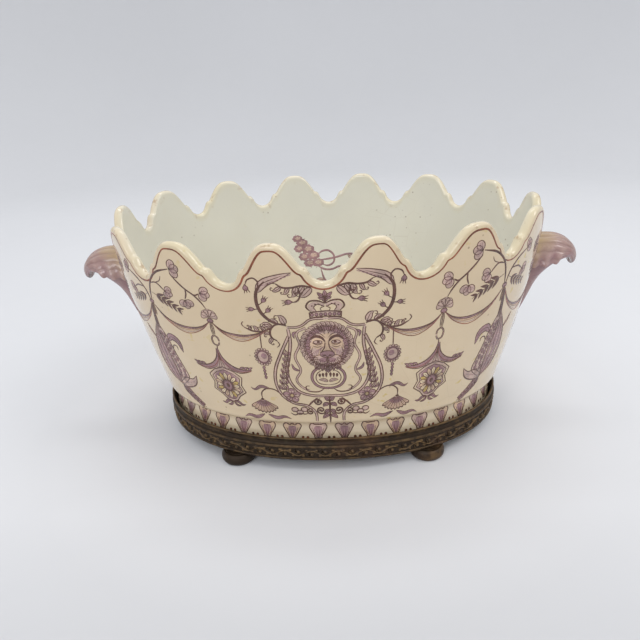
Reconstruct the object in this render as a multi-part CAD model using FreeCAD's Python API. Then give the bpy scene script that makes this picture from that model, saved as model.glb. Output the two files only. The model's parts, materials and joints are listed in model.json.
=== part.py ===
import FreeCAD, Part
import bisect
import math
import os

Vector = FreeCAD.Vector

# Plan: every level of bowl and base is an oval of one family, a full ellipse that
# keeps the same difference between its half-length and its half-depth
rim_half_length = 182.5
length_over_depth = 38.4
plan_exponent = 2.15
plan_points = 48

# Heights, stacked from the floor up
foot_height = 10.5
ledge_thickness = 5.0
gasket_thickness = 1.5
skirt_height = 26.0
roll_height = 7.5
wall_height = 148.5

# Bowl
skirt_half_length = 148.0
skirt_flare = 2.4
crease_step = 0.6
belly_overhang = 7.4
wall_flare_exponent = 1.4
wall_thickness = 7.5
floor_thickness = 8.0
foot_recess = 20.0
foot_rim_width = 8.0
floor_cove = 9.0
roll_steps = 4
wall_steps = 4
rim_steps = 4
cove_steps = 3

# Scalloped rim
scallop_count = 14
crown_rise = 29.0
crown_breadth_exponent = 1.3
rim_round = 3.4
kiln_warp = 3.4
shoulder_place_share = 0.68
shoulder_height_share = 0.36
dip_fullness_share = 0.94
rim_samples_per_scallop = 24
rim_soften = 1
front_dip_shift_shares = {1: -0.07, 2: -0.033, 12: 0.033, 13: 0.07}

# Leaf handles
handle_joint_gap = 0.2
joint_face_steps = 12
leaf_reach = 38.0
leaf_root_depth = 14.5
leaf_top_drop = 36.0
leaf_height = 26.0
leaf_half_width = 20.0
leaf_flutes = 5
leaf_flute_depth = 1.3
leaf_arch_points = 31
leaf_section_shares = (
    # out along the leaf, top, bottom, half-width
    (0.00, 0.97, 0.04, 0.95),
    (0.30, 1.00, 0.05, 1.00),
    (0.53, 0.99, 0.05, 1.00),
    (0.72, 0.85, 0.03, 0.89),
    (0.86, 0.62, 0.00, 0.68),
    (0.95, 0.42, 0.00, 0.44),
    (1.00, 0.28, 0.06, 0.20),
)
stem_reach = 31.0
stem_height = 66.0
stem_half_width = 12.0
stem_inset = 3.0
stem_section_shares = (
    # down from the leaf, reach from the wall, half-width
    (-0.10, 1.00, 1.00),
    (0.00, 1.00, 1.00),
    (0.08, 0.76, 0.93),
    (0.17, 0.60, 0.85),
    (0.30, 0.50, 0.75),
    (0.53, 0.40, 0.62),
    (0.74, 0.29, 0.50),
    (0.89, 0.16, 0.36),
    (1.00, 0.05, 0.20),
)

# Bronze base ring
seat_clearance = 0.8
ring_wall = 3.2
ring_height = 20.2
ledge_width = 24.0
listel_height = 2.0
listel_slope = 0.5
frieze_height = 9.0
frieze_recess = 0.8
bead_radius = 1.5
cavetto_depth = 1.1
lip_thickness = 1.6
lip_edge_height = 1.0
lip_taper_height = 6.0
bead_steps = 6
cavetto_steps = 5

# Bun feet, screwed up into the ledge
foot_half_spacing = 79.0
foot_inset = 8.0
foot_radius = 14.5
foot_bulge_radius = 6.0
foot_collar_radius = 11.0
foot_collar_height = 1.2
stud_radius = 2.5
stud_length = 4.4
thread_clearance = 0.1
hole_end_clearance = 0.3

# Clamp: bar under the ledge, rod through the floor, nuts at both ends
gasket_inset = 0.6
bar_width = 20.0
bar_thickness = 2.5
bar_end_inset = 8.0
bar_screw_radius = 2.0
bar_screw_length = 4.0
bar_screw_head_radius = 3.6
bar_screw_head_height = 1.8
rod_radius = 4.0
rod_clearance = 0.5
rod_end_length = 0.8
nut_across_flats = 13.0
under_nut_height = 4.0
under_washer_radius = 9.0
under_washer_thickness = 1.2
inner_seal_radius = 17.0
inner_seal_thickness = 2.0
inner_washer_radius = 16.0
inner_washer_thickness = 2.0
dome_nut_hex_height = 6.0
dome_nut_radius = 6.2
dome_nut_bore_depth = 8.0
hex_sides = 6

# One overrun for all cuts
overrun = 3.0

full_turn = 360.0
half_turn = 180.0
up = Vector(0, 0, 1)

# Levels that follow from the heights
ring_bottom = foot_height
ring_top = ring_bottom + ring_height
ledge_top = ring_bottom + ledge_thickness
bowl_bottom = ledge_top + gasket_thickness
crease_level = bowl_bottom + skirt_height
belly_level = crease_level + roll_height
crown_level = belly_level + wall_height
dip_level = crown_level - crown_rise
floor_under = bowl_bottom + foot_recess
floor_top = floor_under + floor_thickness
bar_under = ring_bottom - bar_thickness
ring_half_length = skirt_half_length + seat_clearance + ring_wall
neck_half_length = skirt_half_length - skirt_flare
crease_half_length = neck_half_length + crease_step
belly_half_length = crease_half_length + belly_overhang


def signed_power(value, exponent):
    """The value's size raised to the exponent, with its sign kept."""
    return math.copysign(abs(value) ** exponent, value)


def plan_point(half_length, angle, level):
    """Point of the oval at an angle of its formula, counted from the right end."""
    half_depth = half_length - length_over_depth
    x = half_length * signed_power(math.cos(angle), 2 / plan_exponent)
    y = half_depth * signed_power(math.sin(angle), 2 / plan_exponent)
    return Vector(x, y, level)


def plan_angles(count):
    """Angles whose points lie about evenly along the oval, from the front centre round to the right."""
    fine_count = count * plan_points
    fine = [math.tau * i / fine_count - math.pi / 2 for i in range(fine_count + 1)]
    points = [plan_point(rim_half_length, angle, 0) for angle in fine]
    lengths = [0]
    for before, after in zip(points, points[1:]):
        lengths.append(lengths[-1] + before.distanceToPoint(after))
    angles = []
    for i in range(count):
        place = lengths[-1] * i / count
        k = min(bisect.bisect_right(lengths, place), fine_count) - 1
        part = (place - lengths[k]) / (lengths[k + 1] - lengths[k])
        angles.append(fine[k] + part * (fine[k + 1] - fine[k]))
    return angles


even_angles = plan_angles(plan_points)


def closed_wire(points, pieces):
    """Closed smooth curve through points, evenly timed so that sections of a loft match, cut
    into a number of edges."""
    count = len(points)
    curve = Part.BSplineCurve()
    curve.interpolate(Points=points, PeriodicFlag=True, Parameters=[i / count for i in range(count + 1)])
    return Part.Wire([curve.toShape(i / pieces, (i + 1) / pieces) for i in range(pieces)])


def plan_wire(half_length, level):
    """Closed smooth oval at a level."""
    return closed_wire([plan_point(half_length, angle, level) for angle in even_angles], 1)


def oval_loft(sections, straight=False):
    """Solid through ovals given as pairs of half-length and level, smooth or straight between them."""
    wires = [plan_wire(half_length, level) for half_length, level in sections]
    return Part.makeLoft(wires, True, straight)


def oval_plate(half_length, level, thickness):
    """Flat oval plate that stands on a level."""
    return Part.Face(plan_wire(half_length, level)).extrude(up * thickness)


def wall_half_length(level):
    """Outer half-length of the wall: steep flare at the belly that eases towards the rim."""
    rise = (level - belly_level) / wall_height
    eased = 1 - signed_power(1 - rise, wall_flare_exponent)
    return belly_half_length + (rim_half_length - belly_half_length) * eased


def steps(count):
    """Even shares from above zero up to one."""
    return [(i + 1) / count for i in range(count)]


def outer_sections(gap):
    """Outer ovals of the body with no rim, close together: crease, rolled edge, wall to the crowns."""
    sections = [(crease_half_length + gap, crease_level)]
    for share in steps(roll_steps):
        turn = share * math.pi / 2
        half_length = crease_half_length + belly_overhang * math.sin(turn)
        sections.append((half_length + gap, crease_level + roll_height * (1 - math.cos(turn))))
    for share in steps(joint_face_steps):
        level = belly_level + wall_height * share
        sections.append((wall_half_length(level) + gap, level))
    return sections


def scallop_level(share):
    """Rim height between a crown (share zero) and a dip (share one): a wave down to a
    small shoulder, then a round-bottomed dip."""
    shoulder_level = dip_level + crown_rise * shoulder_height_share
    if share < shoulder_place_share:
        along = (share / shoulder_place_share) ** crown_breadth_exponent
        wave = (1 + math.cos(math.pi * along)) / 2
        return shoulder_level + (crown_level - shoulder_level) * wave
    across = dip_fullness_share * (1 - share) / (1 - shoulder_place_share)
    bowl = (1 - math.sqrt(1 - across ** 2)) / (1 - math.sqrt(1 - dip_fullness_share ** 2))
    return dip_level + (shoulder_level - dip_level) * bowl


def rim_levels(count):
    """Rim heights at even places along the oval from the front centre, which is a dip."""
    places = []
    for i in range(scallop_count + 1):
        shift = front_dip_shift_shares.get(i % scallop_count, 0)
        places.append((i + shift, 1))
        places.append((i + 1 / 2, 0))
    raw = []
    for i in range(count):
        place = scallop_count * i / count
        k = max(j for j, mark in enumerate(places) if mark[0] <= place)
        part = (place - places[k][0]) / (places[k + 1][0] - places[k][0])
        raw.append(scallop_level(1 - part if places[k][1] else part))
    soft = range(-rim_soften, rim_soften + 1)
    return [sum(raw[(i + j) % count] for j in soft) / len(soft) for i in range(count)]


def warp_lift(angle):
    """Lift of the rim from firing: the front right quarter stands high, the front left one low."""
    along = signed_power(math.cos(angle), 2 / plan_exponent)
    forward = max(-signed_power(math.sin(angle), 2 / plan_exponent), 0)
    return kiln_warp * 2 * along * forward


rim_count = scallop_count * rim_samples_per_scallop
rim_angles = plan_angles(rim_count)
rim_line = [level + warp_lift(angle) for level, angle in zip(rim_levels(rim_count), rim_angles)]


def rim_wire(low_level, share, lift, inset):
    """Closed curve on the wall, a share of the way from a low level to the scalloped rim.
    It is lifted, and set in from the outer face, by the given amounts."""
    points = []
    for angle, rim in zip(rim_angles, rim_line):
        level = low_level + (rim - rim_round - low_level) * share
        points.append(plan_point(wall_half_length(level) - inset, angle, level + lift))
    return closed_wire(points, scallop_count)


def body_wires():
    """Sections of the body in one run: up the outer face, over the rim and down to the floor."""
    wires = [rim_wire(crease_level, 0, 0, wall_half_length(crease_level) - crease_half_length)]
    for share in steps(roll_steps):
        turn = share * math.pi / 2
        level = crease_level + roll_height * (1 - math.cos(turn))
        half_length = crease_half_length + belly_overhang * math.sin(turn)
        wires.append(rim_wire(level, 0, 0, wall_half_length(level) - half_length))
    wires += [rim_wire(belly_level, share, 0, 0) for share in steps(wall_steps)]
    for share in steps(rim_steps):
        turn = share * math.pi
        inset = wall_thickness * (1 - math.cos(turn)) / 2
        wires.append(rim_wire(belly_level, 1, rim_round * math.sin(turn), inset))
    cove_top = floor_top + floor_cove
    wires += [rim_wire(cove_top, 1 - share, 0, wall_thickness) for share in steps(wall_steps)]
    for share in steps(cove_steps):
        turn = share * math.pi / 2
        level = cove_top - floor_cove * math.sin(turn)
        inset = wall_thickness + wall_half_length(level) - wall_half_length(cove_top)
        wires.append(rim_wire(level, 0, 0, inset + floor_cove * (1 - math.cos(turn))))
    return wires


def make_bowl():
    """Porcelain bowl: the body lofted over its scalloped rim, on a skirt that is hollow below the floor."""
    body = Part.makeLoft(body_wires(), True, False)
    skirt = oval_loft([(skirt_half_length, bowl_bottom), (neck_half_length, crease_level)])
    recess_half_length = skirt_half_length - foot_rim_width
    under_hollow = oval_plate(recess_half_length, bowl_bottom - overrun, foot_recess + overrun)
    floor_hole = Part.makeCylinder(rod_radius + rod_clearance, crown_level, Vector(0, 0, 0), up)
    return body.fuse(skirt).cut(under_hollow).cut(floor_hole)


def leaf_section(out, top, bottom, width):
    """Upright section of the leaf: a fluted arch over a flat underside."""
    x = rim_half_length - leaf_root_depth + (leaf_root_depth + leaf_reach) * out
    base = crown_level - leaf_top_drop - leaf_height
    low = base + leaf_height * bottom
    rise = leaf_height * (top - bottom)
    half_width = leaf_half_width * width
    points = []
    for i in range(leaf_arch_points):
        turn = math.pi * i / (leaf_arch_points - 1)
        flute = leaf_flute_depth * width * (1 - math.cos(2 * leaf_flutes * turn)) / 2
        y = (half_width - flute) * math.cos(turn)
        points.append(Vector(x, y, low + (rise - flute) * math.sin(turn)))
    arch = Part.BSplineCurve()
    arch.interpolate(points)
    return Part.Wire([arch.toShape(), Part.makeLine(points[-1], points[0])])


def stem_wire(down, reach, width):
    """Stem section as a smooth closed curve that starts at its outermost point."""
    level = crown_level - leaf_top_drop - leaf_height - stem_height * down
    middle = wall_half_length(level) - stem_inset
    out = stem_inset + stem_reach * reach
    points = []
    for i in range(plan_points):
        turn = math.tau * i / plan_points
        y = stem_half_width * width * math.sin(turn)
        points.append(Vector(middle + out * math.cos(turn), y, level))
    return closed_wire(points, 1)


def make_right_handle():
    """Leaf over a tapering stem, hollowed to the wall that it is luted to."""
    leaf = Part.makeLoft([leaf_section(*shares) for shares in leaf_section_shares], True, False)
    stem = Part.makeLoft([stem_wire(*shares) for shares in stem_section_shares], True, False)
    wall = oval_loft(outer_sections(handle_joint_gap), True)
    pieces = leaf.fuse(stem).cut(wall)
    return max(pieces.Solids, key=lambda piece: piece.Volume)


def ring_sections():
    """Outer ovals of the base ring from its foot up: listel, frieze, bead, cavetto and lip."""
    frieze_low = ring_bottom + listel_height
    frieze_high = frieze_low + frieze_height
    bead_high = frieze_high + 2 * bead_radius
    lip_low = ring_top - lip_edge_height
    neck = ring_half_length - frieze_recess
    sections = [
        (ring_half_length, ring_bottom),
        (ring_half_length, frieze_low - listel_slope),
        (neck, frieze_low),
        (neck, frieze_high),
    ]
    for share in steps(bead_steps):
        turn = share * math.pi
        bulge = bead_radius * math.sin(turn)
        sections.append((neck + bulge, frieze_high + bead_radius * (1 - math.cos(turn))))
    for share in steps(cavetto_steps):
        hollow = cavetto_depth * math.sin(share * math.pi)
        level = bead_high + (lip_low - bead_high) * share
        sections.append((neck + frieze_recess * share - hollow, level))
    sections.append((ring_half_length, ring_top))
    return sections


def foot_places():
    """Centres of the four feet, under the ledge and an inset from the ring's face."""
    half_length = ring_half_length - foot_inset
    half_depth = half_length - length_over_depth
    part = (foot_half_spacing / half_length) ** plan_exponent
    y = half_depth * (1 - part) ** (1 / plan_exponent)
    return {
        "front_left": Vector(-foot_half_spacing, -y, 0),
        "front_right": Vector(foot_half_spacing, -y, 0),
        "back_left": Vector(-foot_half_spacing, y, 0),
        "back_right": Vector(foot_half_spacing, y, 0),
    }


def bar_screw_places():
    """Centres of the two bar screws, midway across the bar's seat on the ledge."""
    y = ring_half_length - length_over_depth - (bar_end_inset + ledge_width) / 2
    return [Vector(0, -y, 0), Vector(0, y, 0)]


def rod_at(place, level, radius, height):
    """Upright round solid on a place, from a level up."""
    return Part.makeCylinder(radius, height, place + up * level, up)


def make_base_ring():
    """Bronze ring: the moulding round the oval, hollow above its ledge, with tapped holes."""
    seat = ring_half_length - ring_wall
    lip_inside = ring_half_length - lip_thickness
    lip_run = ring_top - lip_taper_height
    hollow = [(seat, ledge_top), (seat, lip_run), (lip_inside, ring_top), (lip_inside, ring_top + overrun)]
    middle = oval_plate(ring_half_length - ledge_width, ring_bottom - overrun, ledge_thickness + 2 * overrun)
    ring = oval_loft(ring_sections(), True).cut(oval_loft(hollow, True)).cut(middle)
    stud_hole = stud_length + hole_end_clearance
    stud_hole_radius = stud_radius + thread_clearance
    for place in foot_places().values():
        ring = ring.cut(rod_at(place, ring_bottom - overrun, stud_hole_radius, stud_hole + overrun))
    screw_hole = bar_screw_length + hole_end_clearance
    hole_radius = bar_screw_radius + thread_clearance
    for place in bar_screw_places():
        ring = ring.cut(rod_at(place, ring_bottom - overrun, hole_radius, screw_hole + overrun))
    return ring


def make_seat_gasket():
    """Soft ring between the bowl's foot rim and the ledge."""
    outer = oval_plate(skirt_half_length - gasket_inset, ledge_top, gasket_thickness)
    hole_half_length = skirt_half_length - foot_rim_width + gasket_inset
    return outer.cut(oval_plate(hole_half_length, ledge_top - overrun, gasket_thickness + 2 * overrun))


def make_foot(place):
    """Bun foot turned about its own axis, with the stud that screws into the ledge."""
    neck_level = foot_height - foot_collar_height
    middle = neck_level / 2
    bulge_centre = foot_radius - foot_bulge_radius
    pad_radius = bulge_centre + math.sqrt(foot_bulge_radius ** 2 - middle ** 2)
    stud_top = foot_height + stud_length
    bulge = Part.Arc(
        Vector(pad_radius, 0, 0),
        Vector(foot_radius, 0, middle),
        Vector(pad_radius, 0, neck_level),
    ).toShape()
    run = [
        Vector(pad_radius, 0, neck_level),
        Vector(foot_collar_radius, 0, neck_level),
        Vector(foot_collar_radius, 0, foot_height),
        Vector(stud_radius, 0, foot_height),
        Vector(stud_radius, 0, stud_top),
        Vector(0, 0, stud_top),
        Vector(0, 0, 0),
        Vector(pad_radius, 0, 0),
    ]
    edges = [bulge] + [Part.makeLine(a, b) for a, b in zip(run, run[1:])]
    foot = Part.Face(Part.Wire(edges)).revolve(Vector(0, 0, 0), up, full_turn)
    foot.translate(place)
    return foot


def make_cross_bar():
    """Flat bar with round ends across the short way, holed for the rod and its screws."""
    reach = ring_half_length - length_over_depth - bar_end_inset
    half = bar_width / 2
    straight = reach - half
    bar = Part.makeBox(bar_width, 2 * straight, bar_thickness, Vector(-half, -straight, bar_under))
    for y in (-straight, straight):
        bar = bar.fuse(rod_at(Vector(0, y, 0), bar_under, half, bar_thickness))
    through = bar_thickness + 2 * overrun
    bar = bar.cut(rod_at(Vector(0, 0, 0), bar_under - overrun, rod_radius + rod_clearance, through))
    for place in bar_screw_places():
        hole_radius = bar_screw_radius + thread_clearance
        bar = bar.cut(rod_at(place, bar_under - overrun, hole_radius, through))
    return bar.removeSplitter()


def make_bar_screws():
    """Two pan-head screws, driven up through the bar into the ledge."""
    screws = []
    for place in bar_screw_places():
        head = rod_at(place, bar_under - bar_screw_head_height, bar_screw_head_radius, bar_screw_head_height)
        shank = rod_at(place, bar_under, bar_screw_radius, bar_thickness + bar_screw_length)
        screws.append(head.fuse(shank))
    return Part.makeCompound(screws)


def washer(level, radius, thickness):
    """Flat washer round the rod."""
    hole = rod_at(Vector(0, 0, 0), level - overrun, rod_radius + rod_clearance, thickness + 2 * overrun)
    return rod_at(Vector(0, 0, 0), level, radius, thickness).cut(hole)


def hex_prism(level, height):
    """Hexagon nut blank on the rod's axis."""
    corner = nut_across_flats / (2 * math.cos(math.pi / hex_sides))
    turns = [math.tau * i / hex_sides for i in range(hex_sides + 1)]
    points = [Vector(corner * math.cos(turn), corner * math.sin(turn), level) for turn in turns]
    return Part.Face(Part.makePolygon(points)).extrude(up * height)


def make_under_nut():
    """Hexagon nut below the bar."""
    level = bar_under - under_washer_thickness - under_nut_height
    bore_length = under_nut_height + 2 * overrun
    bore = rod_at(Vector(0, 0, 0), level - overrun, rod_radius + thread_clearance, bore_length)
    return hex_prism(level, under_nut_height).cut(bore)


def dome_nut_level():
    """Underside of the dome nut, on the washer and seal on the bowl's floor."""
    return floor_top + inner_seal_thickness + inner_washer_thickness


def make_dome_nut():
    """Closed nut inside the bowl: hexagon below, dome above, blind bore."""
    level = dome_nut_level()
    dome_centre = Vector(0, 0, level + dome_nut_hex_height)
    dome = Part.makeSphere(dome_nut_radius, dome_centre)
    below = Part.makeBox(nut_across_flats, nut_across_flats, dome_nut_radius)
    below.translate(Vector(-nut_across_flats / 2, -nut_across_flats / 2, dome_centre.z - dome_nut_radius))
    bore_length = dome_nut_bore_depth + overrun
    bore = rod_at(Vector(0, 0, 0), level - overrun, rod_radius + thread_clearance, bore_length)
    return hex_prism(level, dome_nut_hex_height).fuse(dome.cut(below)).cut(bore)


def make_clamp_rod():
    """Threaded rod from just below the under nut to the blind end of the dome nut."""
    low = bar_under - under_washer_thickness - under_nut_height - rod_end_length
    high = dome_nut_level() + dome_nut_bore_depth - hole_end_clearance
    return rod_at(Vector(0, 0, 0), low, rod_radius, high - low)


def make_parts():
    """Every node of the assembly by name."""
    right_handle = make_right_handle()
    left_handle = right_handle.copy()
    left_handle.rotate(Vector(0, 0, 0), up, half_turn)
    inner_washer_level = floor_top + inner_seal_thickness
    under_washer_level = bar_under - under_washer_thickness
    parts = {
        "bowl": make_bowl(),
        "left_handle": left_handle,
        "right_handle": right_handle,
        "base_ring": make_base_ring(),
        "seat_gasket": make_seat_gasket(),
        "cross_bar": make_cross_bar(),
        "bar_screws": make_bar_screws(),
        "clamp_rod": make_clamp_rod(),
        "dome_nut": make_dome_nut(),
        "inner_seal": washer(floor_top, inner_seal_radius, inner_seal_thickness),
        "inner_washer": washer(inner_washer_level, inner_washer_radius, inner_washer_thickness),
        "under_washer": washer(under_washer_level, under_washer_radius, under_washer_thickness),
        "under_nut": make_under_nut(),
    }
    for corner, place in foot_places().items():
        parts["foot_" + corner] = make_foot(place)
    return parts


os.makedirs("parts", exist_ok=True)
for name, shape in make_parts().items():
    shape.exportStep("parts/" + name + ".step")
    print(name, shape.isValid(), len(shape.Solids), round(shape.Volume))
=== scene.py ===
import json
import math

import bpy
import numpy as np
from bpy.props import FloatProperty, FloatVectorProperty, IntProperty, PointerProperty
from mathutils import Matrix

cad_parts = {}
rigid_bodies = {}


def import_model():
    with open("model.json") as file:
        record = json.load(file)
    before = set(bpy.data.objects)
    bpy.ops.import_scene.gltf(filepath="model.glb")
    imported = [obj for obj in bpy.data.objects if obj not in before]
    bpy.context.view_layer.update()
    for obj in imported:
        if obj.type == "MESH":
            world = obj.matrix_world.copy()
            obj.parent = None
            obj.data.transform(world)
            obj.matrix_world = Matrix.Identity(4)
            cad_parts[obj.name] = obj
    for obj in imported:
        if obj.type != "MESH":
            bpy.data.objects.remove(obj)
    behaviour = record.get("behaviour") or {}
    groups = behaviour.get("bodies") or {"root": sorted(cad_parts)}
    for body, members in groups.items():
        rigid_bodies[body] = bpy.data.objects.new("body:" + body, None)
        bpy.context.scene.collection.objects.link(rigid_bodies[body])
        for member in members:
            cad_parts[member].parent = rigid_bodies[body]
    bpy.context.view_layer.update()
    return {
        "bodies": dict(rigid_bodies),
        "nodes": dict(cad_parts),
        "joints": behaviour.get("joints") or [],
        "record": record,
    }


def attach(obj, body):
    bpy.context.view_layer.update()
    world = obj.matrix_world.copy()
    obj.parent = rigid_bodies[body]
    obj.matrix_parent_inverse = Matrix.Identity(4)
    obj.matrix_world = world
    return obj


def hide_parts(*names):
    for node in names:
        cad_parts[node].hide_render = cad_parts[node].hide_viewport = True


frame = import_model()

bl_info = {
    "name": "Painted jardiniere",
    "version": (1, 0, 0),
    "blender": (4, 5, 0),
    "location": "3D View > Sidebar > Jardiniere",
    "description": "Oval scalloped jardiniere with painted ornament, leaf handles and a bronze base",
    "category": "Add Mesh",
}

MM = 0.001
FRONT = -math.pi / 2
# The wall's reference length: millimetres of drawing once round the bowl
ROUND = 974.0


# Settings

def size(name, description, default):
    """A length in metres that a user may change."""
    return FloatProperty(name=name, description=description, default=default, unit="LENGTH", precision=4)


def tint(name, description, default):
    """A colour that a user may change, as linear red, green and blue."""
    return FloatVectorProperty(
        name=name, description=description, default=default, subtype="COLOR", size=3, min=0.0, max=1.0
    )


def srgb(red, green, blue):
    """Linear colour of a screen colour given from 0 to 255."""
    c = np.array([red, green, blue]) / 255.0
    return tuple(np.where(c <= 0.04045, c / 12.92, ((c + 0.055) / 1.055) ** 2.4).tolist())


class BowlSettings(bpy.types.PropertyGroup):
    rim_half_length: size("Rim half-length", "From the middle to the rim at either end", 0.1825)
    length_over_depth: size("Length over depth", "Half-length less half-depth at every level", 0.0384)
    plan_exponent: FloatProperty(name="Plan fullness", description="2 is an ellipse", default=2.15)
    bowl_bottom: size("Bowl bottom", "Level of the foot rim", 0.017)
    skirt_half_length: size("Skirt half-length", "At the foot rim", 0.148)
    neck_half_length: size("Neck half-length", "At the top of the skirt", 0.1456)
    crease_half_length: size("Crease half-length", "Where the body meets the skirt", 0.1462)
    crease_level: size("Crease level", "Top of the skirt", 0.043)
    belly_overhang: size("Belly overhang", "How far the rolled edge stands out", 0.0074)
    belly_level: size("Belly level", "Where the wall starts", 0.0505)
    wall_height: size("Wall height", "From the belly to the crowns", 0.1485)
    wall_thickness: size("Wall thickness", "Across the wall and the rim", 0.0075)
    wall_flare: FloatProperty(name="Wall flare", description="Above 1 the flare eases upwards", default=1.4)
    crown_rise: size("Crown rise", "From a dip of the rim to a crown", 0.029)
    rim_round: size("Rim round", "Height of the rounded rim", 0.0034)
    kiln_warp: size("Kiln warp", "Lift of the rim from firing", 0.0034)
    scallops: IntProperty(name="Scallops", description="Waves of the rim", default=14, min=6)
    floor_top: size("Floor top", "Level of the floor inside", 0.045)
    floor_under: size("Floor underside", "Level of the floor's underside", 0.037)
    floor_cove: size("Floor cove", "Radius where wall and floor meet", 0.009)
    foot_rim_width: size("Foot rim width", "Width of the rim that the bowl stands on", 0.008)
    floor_hole: size("Floor hole", "Radius of the hole for the rod", 0.0045)


class BaseSettings(bpy.types.PropertyGroup):
    ring_half_length: size("Ring half-length", "From the middle to the ring's face", 0.152)
    ring_bottom: size("Ring bottom", "Level of the ring's underside", 0.0105)
    ring_top: size("Ring top", "Level of the lip", 0.0307)
    ledge_top: size("Ledge top", "Level that the seat gasket lies on", 0.0155)
    ledge_width: size("Ledge width", "Width of the ledge below the bowl", 0.024)
    relief: size("Relief", "Height of the cast vine on the frieze", 0.0016)
    vine_turns: IntProperty(name="Vine turns", description="Waves of the vine round the ring", default=40)


class FinishSettings(bpy.types.PropertyGroup):
    glaze: tint("Glaze", "Outer glaze", srgb(215, 194, 161))
    glaze_inside: tint("Inner glaze", "Glaze inside the bowl", srgb(217, 214, 200))
    line: tint("Line", "Dark drawn line", srgb(90, 57, 45))
    mauve: tint("Mauve", "Painted mauve", srgb(147, 112, 114))
    wash: tint("Wash", "Thin mauve wash", srgb(186, 158, 144))
    gold: tint("Gold", "Yellow touches on the flowers", srgb(190, 162, 92))
    rust: tint("Rust", "Iron-red of the rim line and the dots", srgb(124, 65, 39))
    ochre: tint("Ochre", "Ochre of the handles and accents", srgb(180, 154, 112))
    blush: tint("Blush", "Warm tint of the mask and the shells", srgb(200, 170, 141))
    handle: tint("Handle", "Brown mauve of the handles", srgb(154, 123, 114))
    bronze: tint("Bronze", "Patina in the hollows", srgb(50, 37, 24))
    # Lighter bronze of the high places: rubbed metal, and a painted highlight on the cast crests
    bronze_worn_and_highlit: tint("Worn bronze", "Rubbed high places", srgb(120, 95, 62))
    brass: tint("Brass", "Dull brass of the fixings", srgb(170, 138, 80))
    seal: tint("Seal", "Dark rubber", srgb(52, 48, 45))
    floor: tint("Floor", "Pale floor and backdrop", srgb(226, 227, 230))


# Formulas of the form

def signed_power(value, exponent):
    """Size of each value raised to the exponent, with its sign kept."""
    return np.sign(value) * np.abs(value) ** exponent


def smoothed(values):
    """Values with each inner one drawn towards its neighbours, in the shares 1, 2 and 1."""
    inner = (values[:-2] + 2 * values[1:-1] + values[2:]) / 4
    return np.concatenate([values[:1], inner, values[-1:]])


def curve(points, count):
    """Smooth line through points: cubic pieces whose slopes come from the neighbours, by chord length."""
    p = np.asarray(points, float)
    knots = np.concatenate([[0.0], np.cumsum(np.linalg.norm(np.diff(p, axis=0), axis=1))])
    if len(p) > 2:
        slopes = np.gradient(p, knots, axis=0)
    else:
        slopes = np.repeat((p[1:] - p[:1]) / knots[-1], 2, axis=0)
    at = np.linspace(0.0, knots[-1], count)
    k = np.clip(np.searchsorted(knots, at, side="right") - 1, 0, len(p) - 2)
    span = (knots[k + 1] - knots[k])[:, None]
    t = ((at - knots[k])[:, None]) / span
    return (
        (2 * t**3 - 3 * t**2 + 1) * p[k] + (t**3 - 2 * t**2 + t) * span * slopes[k]
        + (3 * t**2 - 2 * t**3) * p[k + 1] + (t**3 - t**2) * span * slopes[k + 1]
    )


def heading(path):
    """Unit directions along a path of points, and the directions square to them on its left."""
    ahead = np.gradient(path, axis=0)
    ahead /= np.maximum(np.linalg.norm(ahead, axis=1, keepdims=True), 1e-9)
    return ahead, np.stack([-ahead[:, 1], ahead[:, 0]], axis=1)


def steps(points, spacing, least):
    """How many points a line is drawn with: one to each spacing of its length, within limits."""
    most = 44
    length = np.sum(np.linalg.norm(np.diff(points, axis=0), axis=1))
    return int(np.clip(length / spacing, least, most))


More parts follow.
